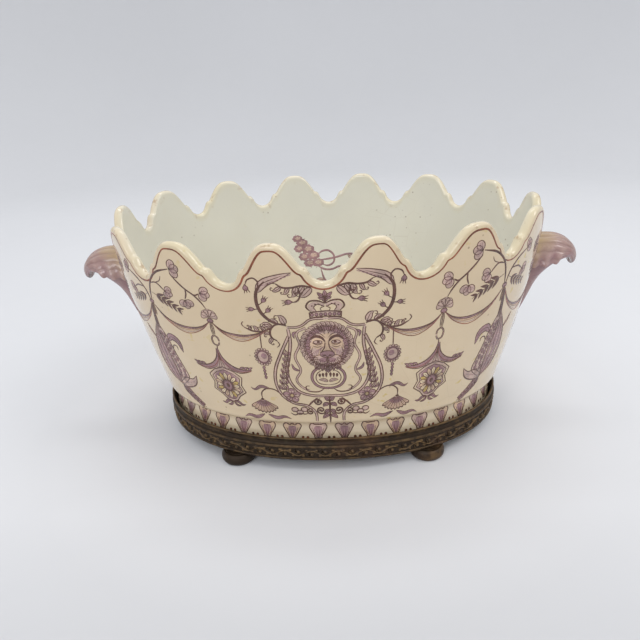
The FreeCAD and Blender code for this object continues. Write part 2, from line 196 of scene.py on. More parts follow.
class Form:
    """Formulas of the oval bowl in millimetres, from the settings in metres."""

    # A scallop, in shares of the way from crown to dip and of the crown's rise
    shoulder_at = 0.68
    shoulder_rise = 0.36
    crown_fullness = 1.5
    dip_round = 0.94
    # Share of a scallop to either side over which the rim is averaged
    soft_over = 1 / 60
    # Bead and hollow at the shoulder: height in millimetres, place and width
    notches = ((1.2, 0.675, 0.035), (-0.8, 0.58, 0.05))
    # Places of the dips beside the front one, in scallops off an even spacing
    dip_shifts = (-0.07, -0.033, 0.033, 0.07)
    # Level from which the ornament follows the warp of the rim, and the height over which it takes it up
    settle_from, settle_over = 115.0, 55.0

    def __init__(self, bowl):
        for name in bowl.bl_rna.properties.keys():
            if name in ("rna_type", "name"):
                continue
            value = getattr(bowl, name)
            plain = name in ("plan_exponent", "wall_flare", "scallops")
            setattr(self, name, value if plain else value / MM)
        self.belly_half_length = self.crease_half_length + self.belly_overhang
        self.fine = np.linspace(FRONT, FRONT + math.tau, 9601)
        x, y = self.oval(self.rim_half_length, self.fine)
        lengths = np.concatenate([[0.0], np.cumsum(np.hypot(np.diff(x), np.diff(y)))])
        self.fine_share = lengths / lengths[-1]

    def oval(self, half_length, angle):
        """Full ellipse: cosine and sine of the angle, each flattened by the plan's exponent."""
        x = half_length * signed_power(np.cos(angle), 2 / self.plan_exponent)
        y = (half_length - self.length_over_depth) * signed_power(np.sin(angle), 2 / self.plan_exponent)
        return x, y

    def angle(self, share):
        """Angle of the oval at a share of the way round, from the front centre to the right."""
        return np.interp(np.mod(share, 1.0), self.fine_share, self.fine)

    def direction(self, share):
        """How far to the right and how far to the front a place of the oval lies, each from -1 to 1."""
        angle = self.angle(share)
        power = 2 / self.plan_exponent
        return signed_power(np.cos(angle), power), -signed_power(np.sin(angle), power)

    def wall(self, level):
        """Half-length of the wall: a flare that eases towards the rim."""
        rise = (level - self.belly_level) / self.wall_height
        eased = 1 - signed_power(1 - rise, self.wall_flare)
        return self.belly_half_length + (self.rim_half_length - self.belly_half_length) * eased

    def skirt(self, level):
        """Half-length of the skirt: a straight line from the foot rim to the neck."""
        rise = (level - self.bowl_bottom) / (self.crease_level - self.bowl_bottom)
        return self.skirt_half_length + (self.neck_half_length - self.skirt_half_length) * rise

    def outside(self, level):
        """Half-length of the outer face at any level: straight skirt, quarter-round roll, wall."""
        roll_rise = np.clip((level - self.crease_level) / (self.belly_level - self.crease_level), 0, 1)
        roll = self.crease_half_length + self.belly_overhang * np.sin(np.arccos(1 - roll_rise))
        above = np.where(level < self.belly_level, roll, self.wall(level))
        return np.where(level < self.crease_level, self.skirt(level), above)

    def rim(self, share):
        """Height of the rim: cosine waves from the crowns down to small notched shoulders, round dips between
        them, averaged over three near places, and a warp that lifts the front right and lowers the front
        left."""
        count, bend, reach = self.scallops, self.shoulder_at, self.dip_round
        shift = np.zeros(count + 1)
        shift[[1, 2, count - 2, count - 1]] = self.dip_shifts
        marks = np.sort(np.concatenate([np.arange(count + 1) + shift, np.arange(count) + 0.5]))
        crown = self.belly_level + self.wall_height
        dip = crown - self.crown_rise
        shoulder = dip + self.shoulder_rise * self.crown_rise
        near = np.array([-1, 0, 1]) * self.soft_over / count
        place = np.mod(np.asarray(share)[..., None] + near, 1.0) * count
        k = np.clip(np.searchsorted(marks, place, side="right") - 1, 0, 2 * count - 1)
        part = (place - marks[k]) / (marks[k + 1] - marks[k])
        down = np.where(k % 2 == 0, 1 - part, part)
        wave = (1 + np.cos(np.pi * (np.minimum(down, bend) / bend) ** self.crown_fullness)) / 2
        across = reach * (1 - np.maximum(down, bend)) / (1 - bend)
        cup = (1 - np.sqrt(1 - across**2)) / (1 - math.sqrt(1 - reach**2))
        level = np.where(down < bend, shoulder + (crown - shoulder) * wave, dip + (shoulder - dip) * cup)
        for height, at, width in self.notches:
            level = level + height * np.exp(-(((down - at) / width) ** 2))
        right, front = self.direction(share)
        return level.mean(axis=-1) + 2 * self.kiln_warp * right * np.maximum(front, 0)

    def settled(self, across, level):
        """Level of a drawn place. It is laid out on the front right, and sinks where the rim is lower."""
        right, front = self.direction(across / ROUND)
        lower = 2 * self.kiln_warp * (right * np.maximum(front, 0) - np.abs(right * front))
        return level + lower * np.clip((level - self.settle_from) / self.settle_over, 0, 1)

    def face(self, across, level, inset):
        """Point of the wall at a drawn length round it and a level, set in from the outer face."""
        x, y = self.oval(self.outside(level) - inset, self.angle(across / ROUND))
        return np.stack([x, y, level], axis=-1)

    def lifted(self, across, level, height, inset):
        """Points a height off the outer face, or off the inner one where it is set in, along the normal."""
        step = 0.05
        here = self.face(across, level, inset)
        right = self.face(across + step, level, inset) - self.face(across - step, level, inset)
        up = self.face(across, level + step, inset) - self.face(across, level - step, inset)
        normal = np.cross(right, up)
        normal /= np.linalg.norm(normal, axis=-1, keepdims=True)
        return here + normal * (-1.0 if inset > 0 else 1.0) * height[..., None]


# Meshes

def make_object(name, points, quads, others=(), attributes=None, sharp=None):
    """Smooth mesh object at the origin from points in millimetres, faces of four corners, and other faces."""
    verts = np.asarray(points, np.float32).reshape(-1, 3) * MM
    quads = np.asarray(quads, np.int32).reshape(-1, 4)
    corners = np.concatenate([quads.ravel()] + [np.asarray(face, np.int32) for face in others])
    totals = np.concatenate([np.full(len(quads), 4), [len(face) for face in others]]).astype(np.int32)
    mesh = bpy.data.meshes.new(name)
    mesh.vertices.add(len(verts))
    mesh.vertices.foreach_set("co", verts.ravel())
    mesh.loops.add(len(corners))
    mesh.loops.foreach_set("vertex_index", corners)
    mesh.polygons.add(len(totals))
    starts = np.concatenate([[0], np.cumsum(totals)[:-1]]).astype(np.int32)
    mesh.polygons.foreach_set("loop_start", starts)
    mesh.update(calc_edges=True)
    if mesh.validate():
        raise RuntimeError(name + " has broken faces")
    mesh.polygons.foreach_set("use_smooth", np.ones(len(totals), bool))
    for key, values in (attributes or {}).items():
        layer = mesh.attributes.new(key, "FLOAT", "POINT")
        layer.data.foreach_set("value", np.asarray(values, np.float32).ravel())
    if sharp:
        mesh.set_sharp_from_angle(angle=math.radians(sharp))
    piece = bpy.data.objects.new(name, mesh)
    bpy.context.scene.collection.objects.link(piece)
    return piece


def grid_faces(rows, columns, closed_rows=False):
    """Faces of a grid of points, row by row. The columns close round, and so may the rows."""
    i = np.arange(rows if closed_rows else rows - 1)[:, None]
    j = np.arange(columns)[None, :]
    i2, j2 = (i + 1) % rows, (j + 1) % columns
    return np.stack(
        [i * columns + j, i * columns + j2, i2 * columns + j2, i2 * columns + j], axis=-1
    ).reshape(-1, 4)


def join_tubes(tubes):
    """Faces of tubes whose points follow each other. Each tube has its rows, its points round and whether it
    closes on itself; one that doesn't gets a face over each end."""
    faces, ends, base = [], [], 0
    for rows, around, closed in tubes:
        faces.append(grid_faces(rows, around, closed) + base)
        if not closed:
            ends += [np.arange(around)[::-1] + base, np.arange(around) + base + (rows - 1) * around]
        base += rows * around
    return np.concatenate(faces), ends


def dress(piece, material, slot, *nodes):
    """Gives a piece its material and body, and hides the nodes that it stands for. Its slot is not used."""
    piece.data.materials.append(material)
    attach(piece, "root")
    if nodes:
        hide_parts(*nodes)


# Materials

class Nodes:
    """Small helper that builds a node tree, one line for each node."""

    def __init__(self, name):
        self.material = bpy.data.materials.new(name)
        self.material.use_nodes = True
        self.tree = self.material.node_tree
        self.shader = self.tree.nodes["Principled BSDF"]
        self.place = self.add("ShaderNodeTexCoord").outputs["Object"]

    def add(self, kind, **values):
        node = self.tree.nodes.new(kind)
        for key, value in values.items():
            setattr(node, key, value)
        return node

    def link(self, out, socket):
        self.tree.links.new(out, socket)

    def noise(self, scale, detail=4.0, rough=0.55, stretch=None):
        node = self.add("ShaderNodeTexNoise")
        for key, value in (("Scale", scale), ("Detail", detail), ("Roughness", rough)):
            node.inputs[key].default_value = value
        place = self.place
        if stretch:
            mapping = self.add("ShaderNodeMapping")
            mapping.inputs["Scale"].default_value = stretch
            self.link(place, mapping.inputs["Vector"])
            place = mapping.outputs["Vector"]
        self.link(place, node.inputs["Vector"])
        return node.outputs["Fac"]

    def cells(self, scale, feature):
        node = self.add("ShaderNodeTexVoronoi", feature=feature)
        node.inputs["Scale"].default_value = scale
        self.link(self.place, node.inputs["Vector"])
        return node.outputs["Distance"]

    def attribute(self, name):
        return self.add("ShaderNodeAttribute", attribute_name=name).outputs["Fac"]

    def ramp(self, value, low, high, start=0.0, end=1.0):
        """Straight line from start to end as the value goes from low to high, held outside them."""
        node = self.add("ShaderNodeMapRange")
        for key, number in (("From Min", low), ("From Max", high), ("To Min", start), ("To Max", end)):
            node.inputs[key].default_value = number
        self.link(value, node.inputs["Value"])
        return node.outputs["Result"]

    def patches(self, scale, detail, low, high, start=0.0, end=1.0):
        """Noise of a scale and detail, brought from low and high to start and end."""
        return self.ramp(self.noise(scale, detail), low, high, start, end)

    def math(self, kind, a, b):
        node = self.add("ShaderNodeMath", operation=kind)
        for socket, value in zip(node.inputs, (a, b)):
            if isinstance(value, (int, float)):
                socket.default_value = value
            else:
                self.link(value, socket)
        return node.outputs["Value"]

    def times(self, a, b):
        return self.math("MULTIPLY", a, b)

    def mix(self, share, first, second):
        node = self.add("ShaderNodeMix", data_type="RGBA")
        self.link(share, node.inputs["Factor"])
        for socket, value in ((node.inputs[6], first), (node.inputs[7], second)):
            if isinstance(value, bpy.types.NodeSocket):
                self.link(value, socket)
            else:
                socket.default_value = (*value, 1.0)
        return node.outputs[2]

    def stain(self, body, mask, strength, red, green, blue):
        """A body colour turned towards a screen colour where the mask is, by a strength."""
        return self.mix(self.times(mask, strength), body, srgb(red, green, blue))

    def bump(self, height, distance, strength):
        node = self.add("ShaderNodeBump")
        node.inputs["Distance"].default_value = distance
        node.inputs["Strength"].default_value = strength
        self.link(height, node.inputs["Height"])
        self.link(node.outputs["Normal"], self.shader.inputs["Normal"])

    def colour(self, value):
        self.link(value, self.shader.inputs["Base Color"])

    def rough(self, value):
        self.link(value, self.shader.inputs["Roughness"])

    def fixed(self, **values):
        for key, value in values.items():
            self.shader.inputs[key.replace("_", " ")].default_value = value


def scaled(colour, factor, warm=0.0):
    """A colour made lighter or darker, and warmer or cooler."""
    return tuple(min(max(c * factor * (1 + warm * w), 0), 1) for c, w in zip(colour, (1, 0, -1)))


def glaze_material(finish):
    """Cream glaze: cloudy tone, cooler inside, with yellow stains, kiln specks, faint cracks, a pooled and
    chipped rim, a crease darkened brown, partly a stain and partly painted shade, and soft ripples."""
    m = Nodes("cream_glaze")
    inside, edge = m.attribute("inside"), m.attribute("edge")
    cloud = m.patches(9.0, 5.0, 0.35, 0.68)
    outer = m.mix(cloud, scaled(finish.glaze, 0.93, 0.02), scaled(finish.glaze, 1.05, -0.01))
    inner = m.mix(cloud, scaled(finish.glaze_inside, 0.95), scaled(finish.glaze_inside, 1.03))
    body = m.mix(inside, outer, inner)
    yellow = m.times(m.patches(125.0, 2.0, 0.64, 0.7), m.patches(12.0, 1.0, 0.48, 0.6))
    body = m.stain(body, yellow, m.ramp(inside, 0.3, 0.7, 0.75, 0.05), 202, 176, 96)
    speck = m.times(m.ramp(m.cells(150.0, "F1"), 0.16, 0.08), m.patches(22.0, 1.0, 0.58, 0.66))
    body = m.stain(body, speck, 0.55, 120, 92, 66)
    crack = m.times(m.ramp(m.cells(52.0, "DISTANCE_TO_EDGE"), 0.018, 0.004), m.patches(5.0, 2.0, 0.5, 0.75))
    body = m.stain(body, crack, 0.16, 150, 124, 92)
    body = m.stain(body, edge, m.patches(16.0, 2.0, 0.35, 0.65, 0.2, 0.7), 208, 196, 158)
    body = m.stain(body, m.times(edge, m.patches(130.0, 4.0, 0.6, 0.68)), 0.6, 160, 126, 90)
    # The crease is darkened brown: partly a stain, partly painted shade under the rolled belly
    crease = m.times(m.attribute("crease"), m.patches(70.0, 3.0, 0.3, 0.6, 0.4, 1.0))
    m.colour(m.stain(body, crease, 0.8, 164, 132, 88))
    m.rough(m.patches(26.0, 3.0, 0.3, 0.7, 0.1, 0.22))
    m.bump(m.noise(38.0, 2.0), 0.0009, 0.3)
    m.fixed(IOR=1.52, Coat_Weight=0.45, Coat_Roughness=0.06)
    return m.material


def paint_material(name, colour, depth):
    """Overglaze paint: the strokes' tone pools and thins by a depth, and the shine is a little broken."""
    m = Nodes(name)
    pool = m.ramp(m.noise(95.0, 4.0, 0.6), 0.34, 0.66)
    m.colour(m.mix(pool, scaled(colour, 1 - depth), scaled(colour, 1 + depth * 1.3)))
    m.rough(m.patches(180.0, 2.0, 0.3, 0.7, 0.2, 0.36))
    m.fixed(IOR=1.5, Coat_Weight=0.25, Coat_Roughness=0.1)
    return m.material


def handle_material(finish):
    """Handle glaze: ochre by the wall runs into brown mauve, with pink folds, painted shade in the flutes'
    grooves and under the leaf, painted highlights on the lobes and a grey tip.
    """
    m = Nodes("handle_glaze")
    cloud = m.patches(48.0, 4.0, 0.35, 0.65, -0.14, 0.14)
    blend = m.ramp(m.math("ADD", m.attribute("mauve"), cloud), 0.15, 0.8)
    body = m.mix(blend, finish.ochre, finish.handle)
    body = m.stain(body, m.attribute("fold"), 0.85, 150, 114, 119)
    # Painted shade: darker in the grooves of the flutes and on the leaf's underside, by the hollow mark
    body = m.stain(body, m.attribute("hollow"), 0.26, 112, 84, 82)
    # Painted highlight: pale glossy spots on the crests of the lobes
    lobe_highlight = m.times(m.attribute("lobe"), m.patches(150.0, 3.0, 0.36, 0.66))
    body = m.stain(body, lobe_highlight, 0.42, 214, 188, 182)
    streak = m.ramp(m.noise(120.0, 3.0, 0.6, (0.35, 1.6, 0.5)), 0.44, 0.64)
    body = m.stain(body, streak, 0.22, 194, 174, 156)
    m.colour(m.stain(body, m.attribute("tip"), 0.7, 132, 120, 120))
    m.rough(m.patches(60.0, 3.0, 0.3, 0.7, 0.14, 0.3))
    m.bump(m.noise(90.0, 3.0), 0.0005, 0.25)
    m.fixed(IOR=1.5, Coat_Weight=0.35, Coat_Roughness=0.08)
    return m.material


def bronze_material(name, finish, relief, lift=0.0):
    """Brown bronze: dark patina in hollows, lighter high places that are rubbed metal and painted highlight,
    coppery and greenish blooms.
    """
    m = Nodes(name)
    fine = m.noise(140.0, 5.0, 0.6)
    broad = m.noise(26.0, 4.0)
    high = m.attribute("high") if relief else m.ramp(broad, 0.36, 0.7)
    # Rubbed metal and painted highlight: lighter where the wear mark is high, on the crests of the vine, the
    # bead and the lip
    worn_and_highlit = m.ramp(m.math("ADD", high, m.ramp(fine, 0.3, 0.7, -0.3, 0.3)), 0.3 - lift, 0.95 - lift)
    body = m.mix(worn_and_highlit, finish.bronze, finish.bronze_worn_and_highlit)
    body = m.mix(m.ramp(broad, 0.56, 0.74, 0.0, 0.4), body, srgb(96, 66, 48))
    m.colour(m.mix(m.patches(60.0, 3.0, 0.62, 0.76, 0.0, 0.3), body, srgb(78, 76, 56)))
    m.rough(m.ramp(fine, 0.3, 0.7, 0.36, 0.58))
    m.bump(fine, 0.0006, 0.35)
    m.fixed(Metallic=0.55)
    return m.material


def brass_material(finish):
    """Dull brass: brown tarnish, a broken shine and fine scratches."""
    m = Nodes("dull_brass")
    m.colour(m.mix(m.patches(70.0, 4.0, 0.42, 0.68), finish.brass, scaled(finish.brass, 0.55, 0.1)))
    m.rough(m.patches(240.0, 3.0, 0.3, 0.7, 0.3, 0.5))
    m.bump(m.noise(420.0, 2.0), 0.0002, 0.3)
    m.fixed(Metallic=0.9)
    return m.material


def seal_material(finish):
    """Dark rubber with a dusty bloom."""
    m = Nodes("dark_rubber")
    m.colour(m.mix(m.patches(120.0, 4.0, 0.4, 0.7), finish.seal, scaled(finish.seal, 1.8)))
    m.rough(m.patches(200.0, 2.0, 0.3, 0.7, 0.65, 0.85))
    m.bump(m.noise(500.0, 2.0), 0.0002, 0.3)
    return m.material


def sweep_material(finish):
    """Pale floor and backdrop with painted light: painted lighter below the bowl to soften its shadow,
    painted shade near the camera and far behind, cloudy.
    """
    m = Nodes("pale_sweep")
    split = m.add("ShaderNodeSeparateXYZ")
    m.link(m.place, split.inputs["Vector"])
    away = m.add("ShaderNodeVectorMath", operation="LENGTH")
    m.link(m.place, away.inputs[0])
    # Painted light: a brighter disc round the bowl that softens its shadow
    tone = m.ramp(away.outputs["Value"], 0.14, 0.27, 1.0, 0.89)
    # Painted shade near the camera and far behind
    near, far = (-0.27, -0.16, 0.12, 0.0), (0.9, 2.1, 0.0, 0.1)
    for shade in (m.ramp(split.outputs["Y"], *near), m.ramp(split.outputs["Y"], *far),
                  m.patches(1.2, 3.0, 0.3, 0.7, 0.0, 0.02)):
        tone = m.math("SUBTRACT", tone, shade)
    m.colour(m.mix(tone, (0.0, 0.0, 0.0), finish.floor))
    m.rough(m.patches(30.0, 2.0, 0.3, 0.7, 0.7, 0.85))
    return m.material


# Pieces

def bowl_rows(form, columns):
    """Rows of the bowl's section, each a half-length and level for every column, as one closed run:
    foot rim, skirt, roll, wall, over the rim, inner wall, cove, floor, hole, underside and recess."""
    share = np.arange(columns) / columns
    angle = form.angle(share)
    rim = form.rim(share)
    flat = np.ones(columns)
    shoulder = rim - form.rim_round
    rows, marks = [], []

    def row(half_length, level, inside=0.0, edge=0.0, crease=0.0, round_share=0.0):
        """Adds a row. By its round share it goes from the oval to the circle of the floor hole."""
        x, y = form.oval(half_length * flat, angle)
        x = x * (1 - round_share) + form.floor_hole * np.cos(angle) * round_share
        y = y * (1 - round_share) + form.floor_hole * np.sin(angle) * round_share
        rows.append(np.stack([x, y, level * flat], axis=-1))
        marks.append(np.stack([inside * flat, edge * flat, crease * flat], axis=-1))

    # The skirt's glaze is a little cooler. The marks of crease and edge fade in over the rows before them
    chamfer, skirt_shade = 0.8, 0.18
    recess = form.skirt_half_length - form.foot_rim_width
    low, corner = form.bowl_bottom, form.bowl_bottom + chamfer
    row(recess, corner)
    row(recess + chamfer, low)
    row(form.skirt_half_length - chamfer, low)
    for t in np.linspace(0, 1, 12):
        level = corner + (form.crease_level - corner) * t
        row(form.skirt(level), level, inside=skirt_shade, crease=max(t - 0.8, 0) / 0.2)
    for t in np.linspace(0, math.pi / 2, 10):
        level = form.crease_level + (form.belly_level - form.crease_level) * (1 - math.cos(t))
        row(form.crease_half_length + form.belly_overhang * math.sin(t), level, crease=max(1 - 1.6 * t, 0))
    for t in np.linspace(0, 1, 35)[1:]:
        level = form.belly_level + (shoulder - form.belly_level) * t
        row(form.wall(level), level, edge=max(t - 0.98, 0) * 25)
    top = form.wall(shoulder)
    for t in np.linspace(0, math.pi, 12)[1:]:
        row(top - form.wall_thickness * (1 - math.cos(t)) / 2, shoulder + form.rim_round * math.sin(t),
            inside=t / math.pi, edge=0.5 + 0.5 * math.sin(t))
    cove_top = form.floor_top + form.floor_cove
    for t in np.linspace(0, 1, 24)[1:]:
        level = shoulder + (cove_top - shoulder) * t
        row(form.wall(level) - form.wall_thickness, level, inside=1.0, edge=max(1 - t * 30, 0) * 0.4)
    cove = form.wall(np.array(cove_top)) - form.wall_thickness
    for t in np.linspace(0, math.pi / 2, 8)[1:]:
        row(cove - form.floor_cove * (1 - math.cos(t)), cove_top - form.floor_cove * math.sin(t), inside=1.0)
    for t in np.linspace(0, 1, 8)[1:]:
        row(cove - form.floor_cove, form.floor_top, inside=1.0, round_share=t)
    for t in np.linspace(1, 0, 7):
        row(recess, form.floor_under, round_share=t)
    for t in (0.3, 0.7):
        row(recess, form.floor_under + (corner - form.floor_under) * t)
    return np.array(rows), np.array(marks)


def handle_surface():
    """Leaf of the right handle. It is an arch over its own width, carried from the wall to the tip: base
    line plus height times sine, width times cosine, with fine flutes as rounded grooves across the arch,
    three lobes along each edge, a drooping tip, and an inner arch for its thickness."""
    along, across = 90, 150
    flutes, flute_depth, thickness = 9.5, 0.6, 3.4
    lobes_from, lobes_to, lobe_length, lobe_drop, lobe_spread = 0.05, 0.62, 0.19, 1.8, 0.09
    tip_from, tip_width = 0.88, 9.2
    top = curve([(174.6, 163.0), (184, 163.6), (192, 163.8), (200, 163.0), (208, 160.0), (214.6, 154.6),
                 (219.0, 147.8), (220.2, 142.0), (219.0, 137.6), (217.0, 135.2)], along)
    base = curve([(170.6, 139.0), (179, 139.2), (187, 139.8), (194, 141.0), (200, 142.8), (206, 144.4),
                  (210.6, 143.6), (213.6, 140.2), (215.0, 137.0), (215.4, 135.0)], along)
    rise = top - base
    t = np.linspace(0, 1, along)
    width = smoothed(np.interp(t, [0, 0.2, 0.42, 0.56, 0.7, 0.82, 0.92, 1],
                               [18.6, 19.6, 19.8, 18.8, 16.2, 11.6, 8.4, 7.0]))
    tip = np.maximum(1 - ((t - tip_from) / (1 - tip_from)) ** 2, 0.004)
    width = np.where(t > tip_from, tip_width * np.sqrt(tip), width)
    v = np.linspace(0, np.pi, across)
    wave = 0.5 - 0.5 * np.cos(math.tau * (t - lobes_from) / lobe_length)
    swell = np.where((t > lobes_from) & (t < lobes_to), wave, 0.0)
    edge = np.abs(np.cos(v)) ** 5
    lobe = swell[:, None] * edge
    spread = width[:, None] * (1 + lobe_spread * lobe)
    groove = np.abs(np.sin(flutes * v)) ** 0.7
    depth = (flute_depth * np.clip(width / 18.0, 0.2, 1) * np.clip(0.3 + 3 * t, 0, 1))[:, None]

    def arch(turn, half_width, shrink, lift):
        reach = np.sin(turn) * shrink
        return np.stack([base[:, :1] + rise[:, :1] * reach, half_width * np.cos(turn) * shrink,
                         base[:, 1:] + rise[:, 1:] * reach + lift], axis=-1)

    outer = arch(v, spread, 1 - depth * (1 - groove) / np.maximum(spread, 6), -lobe_drop * lobe)
    thin = 1 - np.clip(thickness / width, 0, 0.6) - 0.55 * np.clip((t - 0.5) / 0.25, 0, 1)
    inner = arch(v[::-1], width[:, None], np.maximum(thin, 0.15)[:, None], 0.6)
    away = np.clip((t - 0.14) / 0.4, 0, 1)[:, None]
    fold = edge * ((1 - 0.45 * swell) * np.clip(8 * t, 0, 1))[:, None]
    grey = np.clip((t - 0.84) / 0.14, 0, 1)[:, None]
    # Hollow (painted shade in the grooves, and under the leaf on the inner arch), mauve, lobe (painted
    # highlight), fold and tip, each with its even value on the inner arch
    pairs = ((1 - groove, 0.7), (away + 0.4 * edge, 1.0), (lobe, 0.0), (fold, 0.3), (grey, 0.0))
    marks = np.empty((len(pairs), along, 2 * across))
    for k, (mark, value) in enumerate(pairs):
        marks[k, :, :across] = np.clip(mark, 0, 1)
        marks[k, :, across:] = value
    return np.concatenate([outer, inner], axis=1), marks


def stem_surface(form):
    """Stem below the leaf: half-ellipse out from the wall, shallow behind, tapering down to a point."""
    # Share of the way down, then of the full reach from the wall and of the full width
    shares = np.array([(-0.16, 1.00, 1.00), (-0.06, 1.02, 1.02), (0.0, 0.98, 1.0), (0.08, 0.78, 0.93),
                       (0.17, 0.61, 0.85), (0.30, 0.50, 0.75), (0.53, 0.40, 0.62), (0.74, 0.29, 0.50),
                       (0.89, 0.16, 0.36), (1.0, 0.05, 0.20)])
    rows, around = 44, 64
    top, length, full_reach, half_width, sunk = 137.0, 66.0, 31.0, 12.0, 3.0
    down = np.linspace(shares[0, 0], 1.0, rows)
    reach, wide = (smoothed(np.interp(down, shares[:, 0], column))[:, None] for column in shares[:, 1:].T)
    level = top - length * down
    v = math.tau * np.arange(around) / around
    flute = 1 - 0.05 * (1 - np.abs(np.sin(2.5 * v + 0.2)) ** 0.7) * (np.cos(v) > -0.2)
    out = np.where(np.cos(v) > 0, sunk + full_reach * reach, 1.0)
    x = (form.wall(level) - sunk)[:, None] + out * np.cos(v) * flute
    y = half_width * wide * np.sin(v) * flute
    z = np.repeat(level[:, None], around, axis=1)
    # Hollow (painted shade in the flutes' grooves), mauve, lobe (painted highlight), fold and tip
    marks = np.zeros((5, rows, around))
    marks[0] = (1 - flute) * 12
    marks[1] = 1.0
    marks[3] = 0.85
    return np.stack([x, y, z], axis=-1)[::-1], marks


def vine(place, height, turns):
    """Relief of the frieze from 0 to 1: a waving stem, a curled shoot and pointed leaves in every wave.
    Its lengths are in millimetres."""
    band, pitch, sway, stem_width = 9.0, 11.0, 0.24, 0.62
    shoot_down, shoot_size, petal = 1.15, 3.0, 2.1
    coil, coil_middle, coil_width, winding = 2.64, 1.3, 0.42, 0.42
    leaf_across, leaf_up, leaf_size = 4.3, 2.4, 1.35
    phase = place * turns
    stem = np.exp(-(((height - 0.5 - sway * np.sin(phase * math.tau)) * band) / stem_width) ** 2)
    part = np.mod(phase * 2, 1.0) - 0.5
    side = np.where(np.mod(np.floor(phase * 2), 2) < 1, 1.0, -1.0)
    x, y = part * pitch, (height - 0.5) * band * side
    radius = np.hypot(x, y + shoot_down)
    turn = np.arctan2(y + shoot_down, x)
    petals = np.clip(1 - radius / (petal * (0.72 + 0.28 * np.cos(5 * turn))), 0, 1) ** 0.55
    wound = np.mod(radius - turn * winding, coil) - coil_middle
    spiral = np.exp(-((wound / coil_width) ** 2)) * (radius < shoot_size)
    leaf = np.clip(1 - np.hypot((np.abs(x) - leaf_across) * 0.55, y - leaf_up) / leaf_size, 0, 1) ** 0.6
    return np.clip(np.maximum.reduce([stem * 0.9, petals, spiral * 0.7, leaf * 0.85]), 0, 1)


def ring_rows(form, base, columns):
    """Rows of the ring's section and their wear, which also paints highlights on the crests, as one closed
    run:
    underside, fillet, frieze with the vine's relief, half-round bead, hollow, lip, and down the inside to the
    ledge."""
    share = np.arange(columns) / columns
    angle = form.angle(share)
    flat = np.ones(columns)
    face, ledge_width, relief = base.ring_half_length / MM, base.ledge_width / MM, base.relief / MM
    low, top, ledge = base.ring_bottom / MM, base.ring_top / MM, base.ledge_top / MM
    fillet, frieze, bead, hollow, hollow_height, set_back = 2.0, 9.0, 1.5, 1.1, 5.2, 0.8
    neck = face - set_back
    rows, wear_and_highlight = [], []

    def row(half_length, level, worn_and_highlit):
        x, y = form.oval(half_length * flat, angle)
        rows.append(np.stack([x, y, level * flat], axis=-1))
        wear_and_highlight.append(worn_and_highlit * flat)

    for back, rise, worn_and_highlit in ((ledge_width, 0.0, 0.1), (12.0, 0.0, 0.1), (0.4, 0.0, 0.3), (0.0, 0.4, 0.4),
                             (0.0, 1.3, 0.4), (0.3, 1.75, 0.5)):
        row(face - back, low + rise, worn_and_highlit)
    for t in np.linspace(0, 1, 27):
        cast = vine(share, t * flat, base.vine_turns) * min(1.0, 9 * t, 9 * (1 - t))
        # The vine's crests get a higher wear mark: rubbed metal and painted highlight
        row(neck + cast * relief, low + fillet + frieze * t, 0.06 + 0.9 * cast)
    bead_low = low + fillet + frieze
    for t in np.linspace(0, np.pi, 8)[1:]:
        row(neck + bead * np.sin(t), bead_low + bead * (1 - np.cos(t)), 0.1 + 0.45 * np.sin(t))
    for t in np.linspace(0, 1, 7)[1:]:
        out = set_back * t - hollow * np.sin(t * np.pi)
        row(neck + out, bead_low + 2 * bead + hollow_height * t, 0.2 + 0.25 * t)
    for back, drop, worn_and_highlit in ((0.0, 0.35, 0.7), (0.35, 0.0, 0.7), (1.3, 0.0, 0.55), (1.6, 0.3, 0.6),
                             (1.6, 1.0, 0.2), (3.2, 6.0, 0.1), (3.2, top - ledge, 0.0),
                             (ledge_width, top - ledge, 0.0)):
        row(face - back, top - drop, worn_and_highlit)
    return np.array(rows), np.array(wear_and_highlight)


# Painted ornament

EVEN = (1, 1)
# How far the edges of a stroke sink into the glaze, and how high lines and leaves stand, in millimetres
SUNK, LINE_HEIGHT, LEAF_HEIGHT = -0.05, 0.14, 0.085
# Half-width of a drawn line against the width that is asked for
FULLNESS = 0.62


def repeated(count, first, step):
    """The same stroke several times over, each of its points moved on by a step of its own."""
    return [np.add(first, np.multiply(step, k)) for k in range(count)]


def mirrored(edge):
    """The mirror image of an edge about the pen's upright middle."""
    return np.asarray(edge) * (-1, 1)


